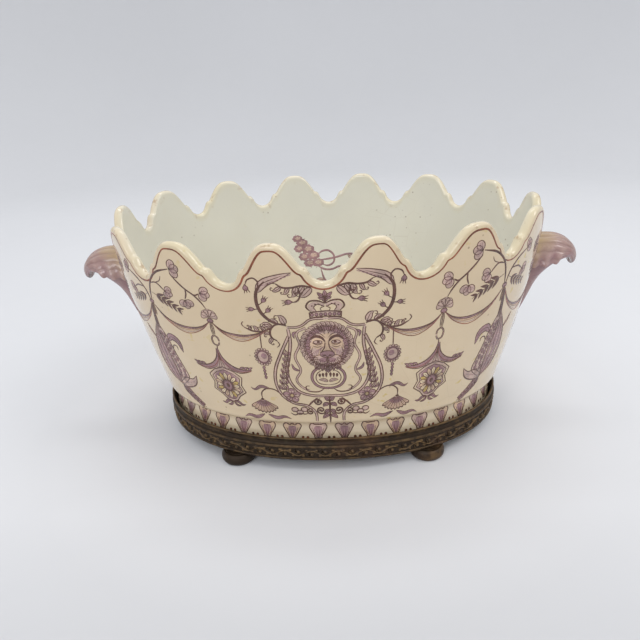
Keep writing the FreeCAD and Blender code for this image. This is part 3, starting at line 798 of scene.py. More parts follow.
class Pen:
    """Paints on the wall in millimetres, x to the right round the bowl and y up, about a place of its own
    that may be turned, sized and mirrored. Every stroke is a closed low ribbon whose edges sink into the
    glaze."""

    def __init__(self, inks, region, frame=None, origin=(0.0, 0.0)):
        self.inks, self.region = inks, region
        self.frame = np.eye(2) if frame is None else frame
        self.origin = np.asarray(origin, float)

    def at(self, x, y, size=1.0, turn=0.0, flip=1.0):
        """The same pen at another place: turned by degrees, sized, and mirrored where flip is negative."""
        c, s = math.cos(math.radians(turn)), math.sin(math.radians(turn))
        spin = np.array([[c * flip, -s], [s * flip, c]]) * size
        return Pen(self.inks, self.region, self.frame @ spin, self.put([(x, y)])[0])

    def put(self, points):
        return np.asarray(points, float) @ self.frame.T + self.origin

    def add(self, ink, flat, deep, closed=False):
        """Keeps a stroke: its points on the wall, their heights, and whether it closes on itself."""
        deep = np.broadcast_to(deep, flat.shape[:2])
        self.inks.setdefault((ink, self.region), []).append((flat, deep, closed))

    def ribbon(self, ink, left, right, across, height):
        """Closed strip between two placed edges, which have as many points as each other."""
        step = left[1:] + right[1:] - left[:-1] - right[:-1]
        over = right[:-1] - left[:-1] + right[1:] - left[1:]
        if np.sum(over[:, 0] * step[:, 1] - over[:, 1] * step[:, 0]) < 0:
            left, right = right, left
        share = np.concatenate([[0.0], np.linspace(0.1, 0.9, across - 2), [1.0]])
        share = np.concatenate([share, share[-2:0:-1]])[None, :, None]
        flat = left[:, None] + (right - left)[:, None] * share
        top = np.concatenate([[SUNK], np.full(across - 2, height), [SUNK], np.full(across - 2, 2 * SUNK)])
        self.add(ink, flat, top)

    def fill(self, ink, one, other, across=4, height=0.06):
        """Flat of paint between two edges that the pen still has to place."""
        self.ribbon(ink, self.put(one), self.put(other), across, height)

    def line(self, points, width, ink="line", ends=(0.35, 0.35), count=None, swell=0.0):
        """Stroke along a smooth line: even width that thins to its ends, fuller in the middle by a swell."""
        path = self.put(curve(points, count or steps(points, 1.3, 5)))
        t = np.linspace(0, 1, len(path))
        thick = np.interp(t, [0, 0.2, 0.8, 1], [ends[0], 1, 1, ends[1]]) * (1 + swell * np.sin(np.pi * t))
        half = FULLNESS * width * math.sqrt(abs(np.linalg.det(self.frame))) * thick
        aside = heading(path)[1] * half[:, None]
        self.ribbon(ink, path + aside, path - aside, 4, LINE_HEIGHT)

    def lines(self, strokes):
        """Several dark strokes, each with its points and its width."""
        for points, width in strokes:
            self.line(points, width)

    def rail(self, points, gap, width, fill="wash"):
        """Two parallel lines with a wash between them."""
        path = curve(points, steps(points, 1.5, 6))
        aside = heading(path)[1] * gap / 2
        self.fill(fill, path + aside, path - aside)
        for side in (1, -1):
            self.line((path + side * aside)[::2], width, ends=(0.7, 0.7), count=len(path))

    def blob(self, x, y, wide, high, ink, lobes=0, depth=0.2, edge=0.0, across=5, count=15,
             phase=0.0, height=0.08):
        """Filled round: an ellipse whose radius waves with its lobes, between its upper and lower half."""
        turn = np.linspace(0, np.pi, count)
        edges = []
        for side in (1, -1):
            r = 1 - depth / 2 + depth / 2 * np.cos(lobes * turn + side * phase) if lobes else np.ones(count)
            edges.append(np.stack([x - wide * r * np.cos(turn), y + side * high * r * np.sin(turn)], axis=1))
        self.fill(ink, *edges, across, height)
        if edge:
            for half in edges:
                self.line(half, edge, ends=EVEN, count=count)

    def dot(self, x, y, wide, high, count=7, height=0.08):
        """Small dark round."""
        self.blob(x, y, wide, high, "line", across=4, count=count, height=height)

    def leaf(self, points, width, ink="mauve", edge=0.42, rib=0.3, full=0.75):
        """Pointed leaf on a bent axis: width times a sine that is fuller towards its base."""
        count = 11
        axis = curve(points, count)
        t = np.linspace(0, 1, count)
        half = heading(axis)[1] * (0.5 * width * np.sin(np.pi * t**full) ** 0.85 + 0.04)[:, None]
        self.fill(ink, axis + half, axis - half, height=LEAF_HEIGHT)
        if edge:
            for side in (half, -half):
                self.line(axis + side, edge, count=count)
        if rib:
            self.line(axis[:9], rib, ends=(1, 0.3), count=8)

    def leaves(self, shapes, edge=0.42, rib=0.3):
        """Several mauve leaves, each with its axis and its width."""
        for points, width in shapes:
            self.leaf(points, width, "mauve", edge, rib)

    def acanthus(self, points, width, lobes, side=1):
        """Curling leaf: a stem with lobes that bend back in turn on one side, smaller to the tip."""
        axis = curve(points, 4 * lobes + 1)
        way, out = heading(axis)
        out = out * side
        for k in range(lobes):
            i = 4 * k + 1
            grow = width * (1 - 0.45 * k / lobes) * (1.0, 0.78)[k % 2]
            ahead, off = way[i] * grow, out[i] * grow
            tip = axis[i] + off * 0.9 + ahead * 0.5
            self.leaf([axis[i] - ahead * 0.12, axis[i] + off * 0.45 + ahead * 0.08,
                       axis[i] + off * 0.75 + ahead * 0.24, tip], grow * 0.52, "wash", 0.6, 0.45)
            self.line([tip, tip + ahead * 0.24 - off * 0.04, tip + ahead * 0.28 - off * 0.3,
                       tip + ahead * 0.08 - off * 0.28], 0.65, count=7)
        self.line(axis, 1.3, ends=(1, 0.5))
        end, ahead, off = axis[-1], way[-1] * width, out[-1] * width
        self.line([end, end + ahead * 0.4 + off * 0.25, end + ahead * 0.35 + off * 0.65], 0.7)

    def spiral(self, x, y, radius, start, turns, width):
        """Scroll that winds in: the radius falls with the angle, and ends in an eye."""
        t = np.linspace(0, 1, int(14 * abs(turns)) + 6)
        a = math.radians(start) + math.tau * turns * t
        r = radius * (1 - 0.82 * t)
        path = np.stack([x + r * np.cos(a), y + r * np.sin(a)], axis=1)
        self.line(path, width, ends=(0.6, 1.0))
        self.dot(*path[-1], width, width)

    def bell(self, x, y, turn, size):
        """Small hanging flower: a cup with three points, drawn towards the given direction."""
        p = self.at(x, y, size, turn)
        p.leaf([(0, 0), (2.6, 0.2), (4.6, 0.0)], 3.4, "mauve", 0.4, 0.0, 1.1)
        for end in (-2.0, 0.0, 2.0):
            p.line([(2.6, end * 0.55), (4.6, end * 0.7), (6.2, end)], 0.5, ends=(1, 0.3), count=5)
        p.dot(0.4, 0, 0.9, 0.9)

    def flower(self, x, y, turn, size):
        """Round open flower: three petals like hearts with fine veins, and a dark eye."""
        p = self.at(x, y, size * 1.32, turn)
        for spread in (52, -52, 0):
            q = p.at(0, 0, turn=spread)
            q.blob(3.4, 0, 3.1, 2.7, "wash", edge=0.42, count=11)
            for vein in (-0.9, 0.0, 0.9):
                q.line([(1.2, vein * 0.4), (3.2, vein), (5.2, vein * 1.3)], 0.32, "mauve", (1, 0.4), 5)
        p.dot(0.3, 0, 1.1, 1.1)

    def sprig(self, points, leaves, length):
        """Stem with dark leaves set in pairs on both sides."""
        axis = curve(points, 2 * leaves + 3)
        way, left = heading(axis)
        self.line(axis, 0.55)
        for k in range(leaves):
            i = 2 * k + 2
            grow = length * (1 - 0.4 * k / leaves)
            for side in (1, -1):
                off = left[i] * side
                self.leaf([axis[i], axis[i] + (way[i] * 0.45 + off * 0.3) * grow * 0.7,
                           axis[i] + (way[i] * 0.75 + off * 0.5) * grow], grow * 0.33, "line", 0, 0)

    def fan(self, x, y, radius, turn, spread, ribs):
        """Shell: narrow petals from one root, spread evenly about a direction."""
        for a in np.linspace(-spread / 2, spread / 2, ribs):
            p = self.at(x, y, turn=turn + a)
            reach = radius * (1 - 0.16 * (abs(a) / spread * 2) ** 2)
            width = 1.9 * radius * math.radians(spread) / ribs
            p.leaf([(0.4, 0), (reach * 0.6, 0), (reach, 0)], width, "wash", 0.4, 0.0, 1.7)

    def shell(self, x, y, radius, turn, spread, pleats):
        """Folded shell: pleats from one root to a toothed edge, darker towards the root."""
        p = self.at(x, y, turn=turn)
        count = 2 * pleats + 1
        a = np.radians(np.linspace(-spread / 2, spread / 2, count))
        way = np.stack([np.cos(a), np.sin(a)], axis=1) * radius
        edge = way * np.where(np.arange(count) % 2, 1.0, 0.88)[:, None]
        p.fill("blush", edge, way * 0.1, 5, 0.05)
        p.fill("mauve", edge * 0.6, way * 0.1, 5, 0.08)
        for k in range(count):
            width, ink = ((0.5, "line"), (0.34, "mauve"))[k % 2]
            p.line([way[k] * 0.14, edge[k] * 0.97], width, ink, (1, 0.7), 6)
        for k in range(count - 1):
            p.line([edge[k], edge[k + 1]], 0.6, ends=EVEN, count=5)

    def swag(self, start, low, end, depth):
        """Hung cloth between two places: folds as lines from a taut upper edge to a fuller lower one."""
        start, low, end = (np.asarray(p, float) for p in (start, low, end))
        count = 30
        folds = ((0.65, "line"), (0.45, "line"), (0.35, "rust"), (0.35, "mauve"), (0.55, "rust"))
        edges = []
        for k in range(len(folds)):
            sink = depth * k / (len(folds) - 1)
            near = [knot * 0.62 + low * 0.38 - (0, 0.32 * abs(knot[1] - low[1]) + 0.45 * sink)
                    for knot in (start, end)]
            edges.append(curve([start, near[0], low - (0, sink), near[1], end], count))
        for k, ink in enumerate(("mauve", "blush")):
            self.fill(ink, edges[k], edges[k + 1])
        for edge, (width, ink) in zip(edges, folds):
            self.line(edge, width, ink, count=count)


def half_face(p):
    """Right half of the mask's face: fur, cheek, brows, eye, nose, muzzle, whiskers, mouth and beard."""
    for count, first, step, width in (
        (6, [(1.6, 119.4), (3.6, 117.6), (4.4, 114.6)], [(1.5, -0.8), (1.3, -1.1), (1.0, -0.9)], 0.45),
        (4, [(9.2, 126.4), (10.4, 124), (10.0, 121.4)], [(0, -3.2), (0, -3.2), (0, -3.0)], 0.45),
        (4, [(1.2, 130.6), (2.4, 129.2), (4.2, 129.6)], [(2.2, -0.3), (2.0, -0.4), (1.9, -0.8)], 0.4),
    ):
        for fur in repeated(count, first, step):
            p.line(fur, width, "mauve")
    p.blob(7.6, 115.4, 2.7, 3.6, "wash", count=11, height=0.11)
    p.line([(1.0, 122.6), (2.8, 125.4), (6.6, 126.6), (10.0, 124.2)], 1.15, swell=0.6)
    p.blob(5.3, 122.5, 2.6, 1.15, "wash", edge=0.5, count=11, height=0.12)
    p.dot(4.9, 122.6, 1.0, 0.95, 9, 0.16)
    p.blob(4.0, 109.7, 4.8, 3.6, "wash", edge=0.5, count=13, height=0.12)
    p.blob(2.6, 109.4, 2.6, 2.2, "mauve", count=11, height=0.13)
    p.dot(1.7, 112.9, 0.9, 0.7, 7, 0.16)
    p.lines((
        ([(1.0, 125.6), (3.4, 128.2), (7.2, 128.8), (9.6, 127.2)], 0.5),
        ([(0.7, 127.6), (2.2, 130.4), (5.4, 131.2)], 0.45),
        ([(2.4, 121.6), (5.2, 120.4), (8.8, 122.2)], 0.5),
        ([(3.0, 119.8), (5.6, 118.8), (8.4, 120.0)], 0.42),
        ([(1.0, 122.6), (1.6, 118.2), (3.9, 114.9)], 0.65),
        ([(8.6, 119), (9.4, 114), (7.6, 108)], 0.5),
        ([(0, 107.6), (3, 106.2), (6.6, 108.0)], 0.7),
    ))
    for whisker in repeated(3, [(5.2, 110.9), (8.2, 111.8), (11.0, 110.8)],
                            [(0, -1.2), (0, -1.7), (0, -2.3)]):
        p.line(whisker, 0.42)
    for tuft in repeated(4, [(1.0, 105.8), (1.4, 103), (1.0, 100.4)], [(1.7, 0.35), (2.1, 0), (2.3, 0.7)]):
        p.leaf(tuft, 1.9, "mauve", 0.38, 0.25)
    for lock in repeated(3, [(0.8, 129.5), (1.3, 132), (1.2, 134.4)], [(1.1, 0.2), (1.5, 0), (2.2, 0)]):
        p.line(lock, 0.45)


def half_collar(p):
    """Right half of the leafed collar below the mask."""
    p.rail([(6.5, 101.5), (11.5, 96.5), (12.6, 90.5), (9.6, 84.6), (3.2, 81.8), (0, 81.6)], 1.7, 0.5, "mauve")
    p.line([(3.2, 99.2), (8, 96.0), (9.6, 91.0), (7.4, 86.5), (0, 84.6)], 0.6)
    for leaf in repeated(3, [(1.5, 96.6), (1.6, 94.2), (1.6, 91.8)], [(2.5, -0.5), (2.5, 0), (2.4, 0)]):
        p.leaf(leaf, 2.1, "line", 0, 0)
    p.leaf([(0.4, 88.0), (4.0, 89.6), (7.4, 89.6)], 2.6, "wash", 0.4, 0.35)
    p.line([(3.2, 81.8), (7.0, 78.6), (12.6, 78.0), (17.4, 79.8), (17.8, 83.4), (15.0, 83.8)], 0.95)


def mane_mask(pen):
    """Animal mask with a mane: two rings of tufts round an oval, a face of mirrored halves, nose and chin."""
    middle, half_wide, half_high, curl = 120.0, 18.0, 19.4, 0.12
    pen.blob(0, middle, 17.6, 19.0, "wash", 19, 0.1, across=7, count=40, height=0.05)
    rings = ((38, 0.0, 0.82, 1.08, 3.0, "wash"), (32, 0.5, 0.66, 0.94, 2.8, "mauve"))
    for count, start, low, high, width, ink in rings:
        for k in range(count):
            a = math.tau * (k + start) / count
            tuft = [(half_wide * r * math.cos(b), middle + half_high * r * math.sin(b))
                    for r, b in ((low, a), ((low + high) / 2, a), (high, a + curl))]
            pen.leaf(tuft, width, ink, 0.38, 0.3)
    pen.blob(0, 118.0, 12.8, 15.2, "blush", 19, 0.07, across=7, count=40, height=0.1)
    face = pen.at(0, -24.6, 1.21)
    for flip in (1, -1):
        half_face(face.at(0, 0, flip=flip))
        half_collar(pen.at(0, 0, flip=flip))
    face.blob(0, 113.7, 4.3, 2.5, "mauve", edge=0.6, count=13, height=0.14)
    face.line([(0, 112), (0, 107.4)], 0.6)
    face.leaf([(0, 105.6), (0.2, 102.6), (0, 99.6)], 2.2, "mauve", 0.38, 0.25)


def crown(pen):
    """Crown over the cartouche: jewelled band, two round arches and a leafed knob."""
    for level in (144.2, 148.4):
        pen.line([(-10.6, level - 0.2), (0, level + 0.5), (10.6, level - 0.2)], 0.8, ends=EVEN, count=16)
    pen.fill("wash", *(curve([(-10.2, v), (0, v + 0.6), (10.2, v)], 14) for v in (144.6, 148.0)))
    for k in range(-3, 4):
        pen.blob(3.0 * k, 146.4, 1.05, 1.25, "mauve", edge=0.4, count=9)
    for flip in (1, -1):
        p = pen.at(0, 0, flip=flip)
        p.line([(10.4, 144.0), (10.7, 148.4)], 0.8, ends=EVEN, count=5)
        p.fill("wash", curve([(9.6, 149), (11.8, 153.4), (8, 156.6), (0.4, 154.8)], 14),
               curve([(5.6, 149), (7.4, 152.6), (5.0, 154.2), (0.4, 152.6)], 14))
        p.lines((
            ([(9.8, 149), (12.6, 153), (10.6, 156.8), (5, 157.2), (0, 154.8)], 1.1),
            ([(5.8, 149), (7.6, 152.4), (5.4, 154.3), (0.6, 152.6)], 0.6),
            ([(2.4, 149), (3.4, 151), (0.4, 152.6)], 0.5),
        ))
        for k in range(4):
            p.dot(8.7 - 2.2 * k, 153.4 + 1.4 * math.sin(1.1 * k), 0.6, 0.6, 6)
        p.leaf([(0.2, 159.6), (2.4, 161.0), (4.8, 163.6)], 2.4, "mauve", 0.4, 0.3)
        p.leaf([(0.2, 159.6), (2.6, 158.8), (4.4, 159.8)], 1.6, "mauve", 0.4, 0)
    pen.line([(0, 155), (0, 161)], 1.6, ends=EVEN)
    pen.blob(0, 157.6, 1.7, 1.3, "mauve", edge=0.45, count=9)
    pen.leaf([(0, 159), (0.1, 162), (0, 164.9)], 2.8, "mauve", 0.4, 0.3)


def shield(p):
    """Right half of the shield: its rails, the feathered border between them and the rose at its foot."""
    p.rail([(0, 74), (13, 74.3), (24, 78.5), (30, 88), (31, 98), (28.3, 110), (25.8, 124), (26.4, 137)],
           1.9, 0.7)
    p.rail([(26.4, 137), (21, 136.6), (16.5, 138), (11, 142.4), (0, 143)], 1.5, 0.6)
    p.rail([(26.6, 129), (34, 113), (39.8, 99), (41.4, 86), (38.2, 74.6), (29, 66.4), (18, 63.6),
            (12.4, 57.5), (11.6, 46)], 1.9, 0.75)
    p.rail([(14, 136), (20.6, 132), (19.4, 122), (23.6, 111), (20.6, 98), (24.6, 89), (20.6, 82.4),
            (14.5, 78.6)], 1.5, 0.42)
    for k in range(7):
        q = p.at(35.6 - 1.0 * k + 0.3 * math.sin(k), 83 + 5.2 * k, 1.0 - 0.045 * k)
        q.leaf([(-1.6, -3.4), (0.2, 0), (1.0, 4.0)], 2.6, "wash", 0.5, 0)
        q.line([(-2.0, -4.4), (0.2, 0.2), (1.2, 4.4)], 0.6, ends=(1, 0.6))
        q.leaves((
            ([(-1.4, -3.2), (-3.0, -0.6), (-2.2, 2.4)], 1.5),
            ([(-0.6, -3.0), (2.6, -1.6), (3.2, 1.8)], 1.5),
        ), 0.4, 0)
    p.leaves((
        ([(20.4, 133), (23.0, 131.4), (22.6, 127)], 1.6),
        ([(21.4, 98), (25.4, 100.2), (26.8, 104.6)], 1.8),
    ), 0.35, 0)
    rose = (30.2, 74.2)
    p.blob(*rose, 6.4, 6.8, "wash", 5, 0.2, count=25, phase=1.2)
    for k in range(5):
        q = p.at(*rose, turn=72 * k + 18)
        q.blob(4.3, 0, 2.9, 2.5, "mauve", edge=0.45, count=9)
        q.line([(1.4, 0), (4.8, 0)], 0.4, count=5)
    p.blob(*rose, 1.8, 1.9, "ochre", edge=0.5, count=9)


def scroll(p):
    """Right half of the growth over the shield: a tall scroll, a feathered leaf, bells and acanthus."""
    p.line([(27, 138), (37, 142), (43.2, 149.4), (45.4, 160), (43.6, 169), (38.4, 174.6)], 1.7, swell=0.25)
    p.leaf([(44.2, 166), (40, 172.6), (31, 176.4), (20.4, 179.6)], 5.8, "wash", 0.65, 0.5, 0.6)
    for feather in repeated(6, [(41, 171.4), (37.8, 172.0), (36.4, 171.2)],
                            [(-3.3, 1.25), (-3.2, 1.15), (-3.2, 1.45)]):
        p.line(feather, 0.45, "mauve", count=5)
    for stalk, width, bell in (
        ([(43.6, 169.4), (42.4, 174), (45.2, 177.4), (49.4, 176.2), (51.3, 172.4)], 0.95,
         (51.4, 172.6, -98, 1.05)),
        ([(45.2, 156), (42.6, 157.2), (41.4, 158.4)], 0.6, (41.6, 158.2, 122, 0.95)),
        ([(44.4, 153), (46.6, 152.6), (48, 152.6)], 0.6, (47.6, 152.6, -2, 0.95)),
        ([(42.6, 148.2), (40.6, 149.4), (39.6, 150.2)], 0.6, (39.8, 150, 132, 0.95)),
        ([(16.4, 167.4), (16.0, 161.4), (18.6, 157.6), (21.8, 157.2)], 1.1, (21.4, 157.5, -4, 1.1)),
    ):
        p.line(stalk, width)
        p.bell(*bell)
    p.acanthus([(8.2, 167.6), (14.6, 169.4), (21.6, 168.6), (27.4, 169.4), (31, 172.4)], 9.4, 5, -1)
    p.acanthus([(27.4, 139.4), (34.6, 139.2), (38.8, 134.4), (38.6, 128.0), (35.0, 125.0)], 8.2, 5)
    p.acanthus([(36.6, 137.4), (43.6, 133.6), (51, 133.4), (57.4, 136.8)], 7.0, 4)
    tassel(p.at(47.6, 110))
    p.line([(46.6, 134), (47.4, 118.6)], 0.75, ends=EVEN)


def foliage(p):
    """Right half of the growth below the shield: a shell, long leaves, scrolls and small fruit."""
    p.lines((
        ([(38.4, 74.8), (44.4, 79.6), (50.6, 79.8), (55, 76), (55.8, 69)], 1.0),
        ([(18, 63.6), (12, 69.6), (7.6, 71)], 1.4),
        ([(18, 56.4), (21.6, 55.2), (25.4, 56.0), (30.6, 54.2), (33.6, 56.4)], 1.0),
    ))
    p.shell(55.6, 69.4, 14.8, -90, 116, 9)
    p.dot(55.7, 69, 1.5, 1.3)
    p.leaves((
        ([(47, 79.8), (54.8, 81.8), (61, 78.4), (63.4, 80.4)], 2.5),
        ([(57, 53.6), (65, 49.6), (72, 51), (76.6, 48.6)], 3.0),
        ([(54, 53.6), (45.6, 50.4), (39.4, 52), (34, 49.8)], 3.0),
    ))
    p.spiral(9.0, 68.0, 3.8, 80, -1.3, 1.35)
    p.spiral(7.4, 59.4, 4.2, 200, 1.4, 1.35)
    p.spiral(16.4, 57.6, 3.5, 120, -1.2, 1.3)
    for root, tip in (((0.6, 66), (5.8, 63.2)), ((0.6, 60), (4.6, 54.6)), ((0.6, 54.6), (6.4, 50.6)),
                      ((0.6, 69), (4.4, 72.4))):
        p.leaf([root, np.add(root, tip) / 2 + (0, 1.0), tip], 3.4, "mauve", 0.6, 0.45)
    for x, y in ((25.6, 57.0), (21.6, 60.2), (29.6, 59.8)):
        p.blob(x, y, 2.7, 2.3, "wash", edge=0.75, count=10)


def cartouche(pen):
    """Shield with mask and crown, scrolls and tassels and the foliage below, in two mirrored halves."""
    mane_mask(pen)
    crown(pen)
    pen.line([(0, 73.5), (0, 60), (0, 45.5)], 1.5)
    for flip in (1, -1):
        p = pen.at(0, 0, flip=flip)
        shield(p)
        scroll(p)
        foliage(p)


def tassel(p):
    """Hanging medal: a gadrooned oval with a shaded middle and a drop of leaves."""
    p.blob(0, 0, 6.2, 7.8, "mauve", 16, 0.12, count=33)
    for k in range(16):
        a = math.tau * k / 16
        p.blob(5.6 * math.cos(a), 7.1 * math.sin(a), 1.0, 1.0, "wash", edge=0.38, count=7)
    p.blob(0, 0, 4.1, 5.4, "wash", edge=0.5)
    p.blob(-0.8, 0.9, 2.2, 3.1, "mauve", count=11)
    for leaf in repeated(4, [(0.6, -8.4), (1.0, -10), (0.9, -11.6)], (0, -3.0)):
        p.leaf(leaf, 1.9, "mauve", 0.4, 0)


def lantern(p):
    """Hung eight-sided panel: curved roof with leafed tips, bordered sides, a rosette and a leafed foot."""
    half = np.array([(0, 17.5), (8.4, 14), (14.6, 8.8), (12.4, 1.0), (14.8, -5.6), (8.2, -10.4), (4.4, -15.4),
                     (0, -16.6)])
    border = 0.84
    sides = list(zip(half[:-1], half[1:]))
    edge = np.concatenate([np.linspace(*side, 5)[:-1] for side in sides] + [half[-1:]])
    p.fill("wash", mirrored(edge), edge, 7, 0.035)
    p.fill("mauve", mirrored(edge * border), edge * border, 7, 0.05)
    folds = curve([(0.1, 33), (0.8, 26), (6, 15.6)], 12)
    p.fill("wash", mirrored(folds), folds, 5, 0.055)
    p.line([(0, 33), (0, 17.5)], 0.5)
    for flip in (1, -1):
        q = p.at(0, 0, flip=flip)
        q.line(folds * (0.5, 1), 0.45)
        for side in sides:
            q.line(side, 0.75, ends=EVEN, count=7)
            q.line(np.multiply(side, border), 0.5, ends=EVEN, count=7)
        q.fill("mauve", curve([(0.6, 34.5), (2.0, 27), (8, 19.8), (16, 16.8), (24.6, 16.8)], 18),
               curve([(0.0, 34), (0.4, 26), (4, 17.6), (14, 13.6), (24.4, 16.2)], 18))
        q.line([(0.7, 34.5), (2.4, 27), (8.4, 20), (16, 17), (25, 17)], 0.8)
        q.line([(0.2, 31), (1.6, 24), (6.2, 18.2), (15, 14.6), (24.4, 16.2)], 0.45, "rust")
        q.line([(5, 16.6), (14, 13.2), (24.2, 15.8)], 0.6)
        for leaf in repeated(3, [(15, 16.6), (17, 18.6), (19.6, 19.2)], [(3.4, 0), (3.4, 0), (3.2, 0.3)]):
            q.leaf(leaf, 1.7, "mauve", 0.38, 0)
        q.leaf([(0.5, -16.4), (4.6, -16.2), (8.4, -19.2), (11.4, -18.2)], 2.4)
        q.leaf([(0.5, -17.2), (3.4, -20.2), (6.4, -20.6)], 1.9, "mauve", 0.4, 0.3)
    petals = 16
    for k in range(petals):
        turn = 360 / petals * k
        reach = 10.4 + 2.2 * abs(math.sin(math.radians(turn)))
        ink = ("cream", "blush", "cream", "gold")[k % 4]
        p.at(0, -0.4, turn=turn).leaf([(3.2, 0), (reach * 0.65, 0), (reach, 0)], 3.3, ink, 0.5, 0.3, 1.8)
    p.blob(0, -0.4, 3.9, 5.4, "mauve", edge=0.7, count=13, height=0.12)
    p.dot(0, -0.4, 1.7, 2.7, 9, 0.15)


def pendant(p):
    """Feathered pendant at the corner of the bowl: folds gathered at the knot, a full body with scales on one
    side of its seam and pleats on the other, a hooked shoulder, a cup at its foot and a feathered tail."""
    for k in range(-2, 3):
        p.line([(0.3 * k, 12), (1.2 + 0.7 * k, 0), (2.4 + 1.1 * k, -13)], 0.7)
    count, pleat_lines = 26, 6
    seam = curve([(2.4, -7), (4.4, -18), (1.6, -40), (0.6, -55), (1.6, -67)], count)
    scales = curve([(1.4, -7), (-5.0, -22), (-8.4, -36), (-11.6, -47), (-13.4, -56), (-6.4, -63),
                    (1.0, -68)], count)
    pleats = curve([(3.4, -7), (11.0, -19), (18.6, -34), (21.0, -48), (16.4, -60), (2.4, -68)], count)
    p.fill("wash", scales, seam, 5, 0.05)
    p.fill("mauve", seam, pleats, 5, 0.05)
    for k in range(pleat_lines + 1):
        width = 0.9 if k in (0, pleat_lines) else 0.45
        p.line(seam + (pleats - seam) * k / pleat_lines, width, ("line", "wash")[k % 2], count=count)
    p.line(scales, 0.9, count=count)
    for k in range(9):
        root, far = scales[5 + 2 * k], seam[4 + 2 * k]
        for share in (0.2, 0.6):
            edge = root + (far - root) * share
            p.leaf([edge + (0, 2.2), edge + (1.0, 0.2), edge + (1.2, -2.8)], 3.0)
    p.leaf([(-4.4, -24), (-9.6, -18.4), (-16.2, -20.6), (-19.0, -31)], 6.4, "mauve", 0.7, 0.5)
    p.line([(-7.0, -31), (-9.8, -26.4), (-13.0, -26.6), (-13.4, -30.2)], 0.9)
    brim = curve([(-23.4, -52.4), (-16.6, -57.4), (-8.6, -57.8), (1.4, -64.6)], 14)
    under = curve([(-23.4, -52.4), (-19.8, -61.2), (-11.0, -67.0), (1.6, -69.6)], 14)
    p.fill("wash", brim, under, 5, 0.11)
    p.line(brim, 0.8, count=14)
    p.line(under, 1.1, count=14)
    p.line((brim + under)[2:] / 2, 0.45, "mauve", count=12)
    tail = curve([(3.4, -67.6), (-3.0, -73.6), (-10, -78.8), (-20, -85.6)], 15)
    p.line(tail, 0.9)
    for k in range(6):
        root, grow = tail[1 + 2 * k], 9.6 - 0.9 * k
        for side in (1, -1):
            bend = np.array([-0.32 - 0.17 * side, -0.24 + 0.22 * side]) * grow
            tip = np.array([-0.71 - 0.28 * side, -0.55 + 0.36 * side]) * grow
            p.leaf([root, root + bend, root + tip], 3.0)
    p.leaf([(14.6, -25.4), (19.6, -20), (22.6, -14.4)], 2.6, "wash", 0.4, 0.3)


def quarter(p):
    """Swags, knots, lantern, flower sprays and corner pendant from the cartouche round to the handle."""
    p.swag((40, 135.5), (63, 129.4), (83, 140.4), 6.0)
    p.swag((83, 140.4), (106, 131.4), (137, 149), 6.4)
    p.swag((137, 149), (170, 126), (205, 147), 6.8)
    for x, y in ((83, 140.6), (137, 149.4), (205, 147.4)):
        p.blob(x, y, 2.4, 2.0, "mauve", edge=0.6, count=11)
        for a in (-1.0, 0.0, 1.0):
            p.line([(x + a * 0.6, y - 1.6), (x + a * 1.2, y - 7), (x + a * 0.9, y - 13.4)], 0.6)
    p.fan(83, 143, 8.4, 90, 120, 5)
    p.rail([(80.2, 121.6), (81.0, 125.2), (83, 126.6), (85.0, 125.2), (85.8, 121.6), (85.0, 118), (83, 116.6),
            (81, 118), (80.2, 121.6)], 0.9, 0.5)
    lantern(p.at(84, 79.5))
    p.line([(83, 116.4), (83.6, 113)], 0.8)
    thick, middling, thin = 1.35, 1.25, 1.1
    for stalk, width, flower in (
        ([(136.4, 150), (134.4, 160), (130, 170.6), (121, 178.6), (108.4, 182.4)], 1.45,
         (106.8, 182.6, 172, 0.92)),
        ([(92.4, 163.4), (89.6, 163), (87, 164.6)], thin, (85.6, 165.2, 196, 0.86)),
        ([(97.4, 167.6), (97.6, 163.4), (99.6, 158.4)], thin, (99.8, 157, 262, 0.86)),
        ([(131.4, 168.2), (124.6, 169.6), (117.4, 163.2)], thin, (117.2, 163, 205, 0.84)),
        ([(137.4, 150), (140.4, 160), (148, 168.4), (158, 173.4)], thick, (159, 174, 30, 0.82)),
        ([(141.6, 162), (150, 161.6), (156.4, 158)], thin, (157.2, 157.6, -30, 0.8)),
        ([(205, 148), (202, 158), (193, 167), (182.4, 170.6)], thick, (181.4, 171, 165, 0.86)),
        ([(199.4, 161), (192, 158.4), (186.4, 154.6)], thin, (185.8, 154, 220, 0.82)),
        ([(205, 148), (208.6, 153), (213.6, 155.4)], middling, (214.4, 155.6, 12, 0.72)),
    ):
        p.line(stalk, width)
        p.flower(*flower)
    p.line([(107.6, 179), (102.4, 172.8), (97, 167.4), (91, 162.4), (86.8, 157), (84, 151.6)], middling)
    p.line([(125.4, 169.6), (119.4, 172.4), (117.6, 175.8)], 0.6)
    p.sprig([(133, 159), (122, 154.6), (105, 145.6)], 5, 10.4)
    p.sprig([(139.6, 156), (150, 150.6), (165, 145.6)], 5, 9.0)
    p.sprig([(203.4, 153), (194, 147.6), (183, 145)], 4, 7.0)
    pendant(p.at(139, 134))
    for flip in (1, -1):
        q = p.at(207, 96, 0.92, flip=flip)
        q.acanthus([(0, 12), (6, 9), (9.6, 2), (7.4, -5), (2.4, -6.4)], 5.0, 5)
        q.spiral(5.6, -14, 4.4, 120, -1.4, 0.8)
        q.line([(0, 12), (-1, 42)], 0.7)
        q.leaves((
            ([(0.4, -20), (5.2, -24), (8.0, -30.6)], 3.0),
            ([(0.2, -16), (0.6, -26), (0, -36)], 3.0),
        ))
        q.fan(0, 14, 8.6, 90, 110, 5)


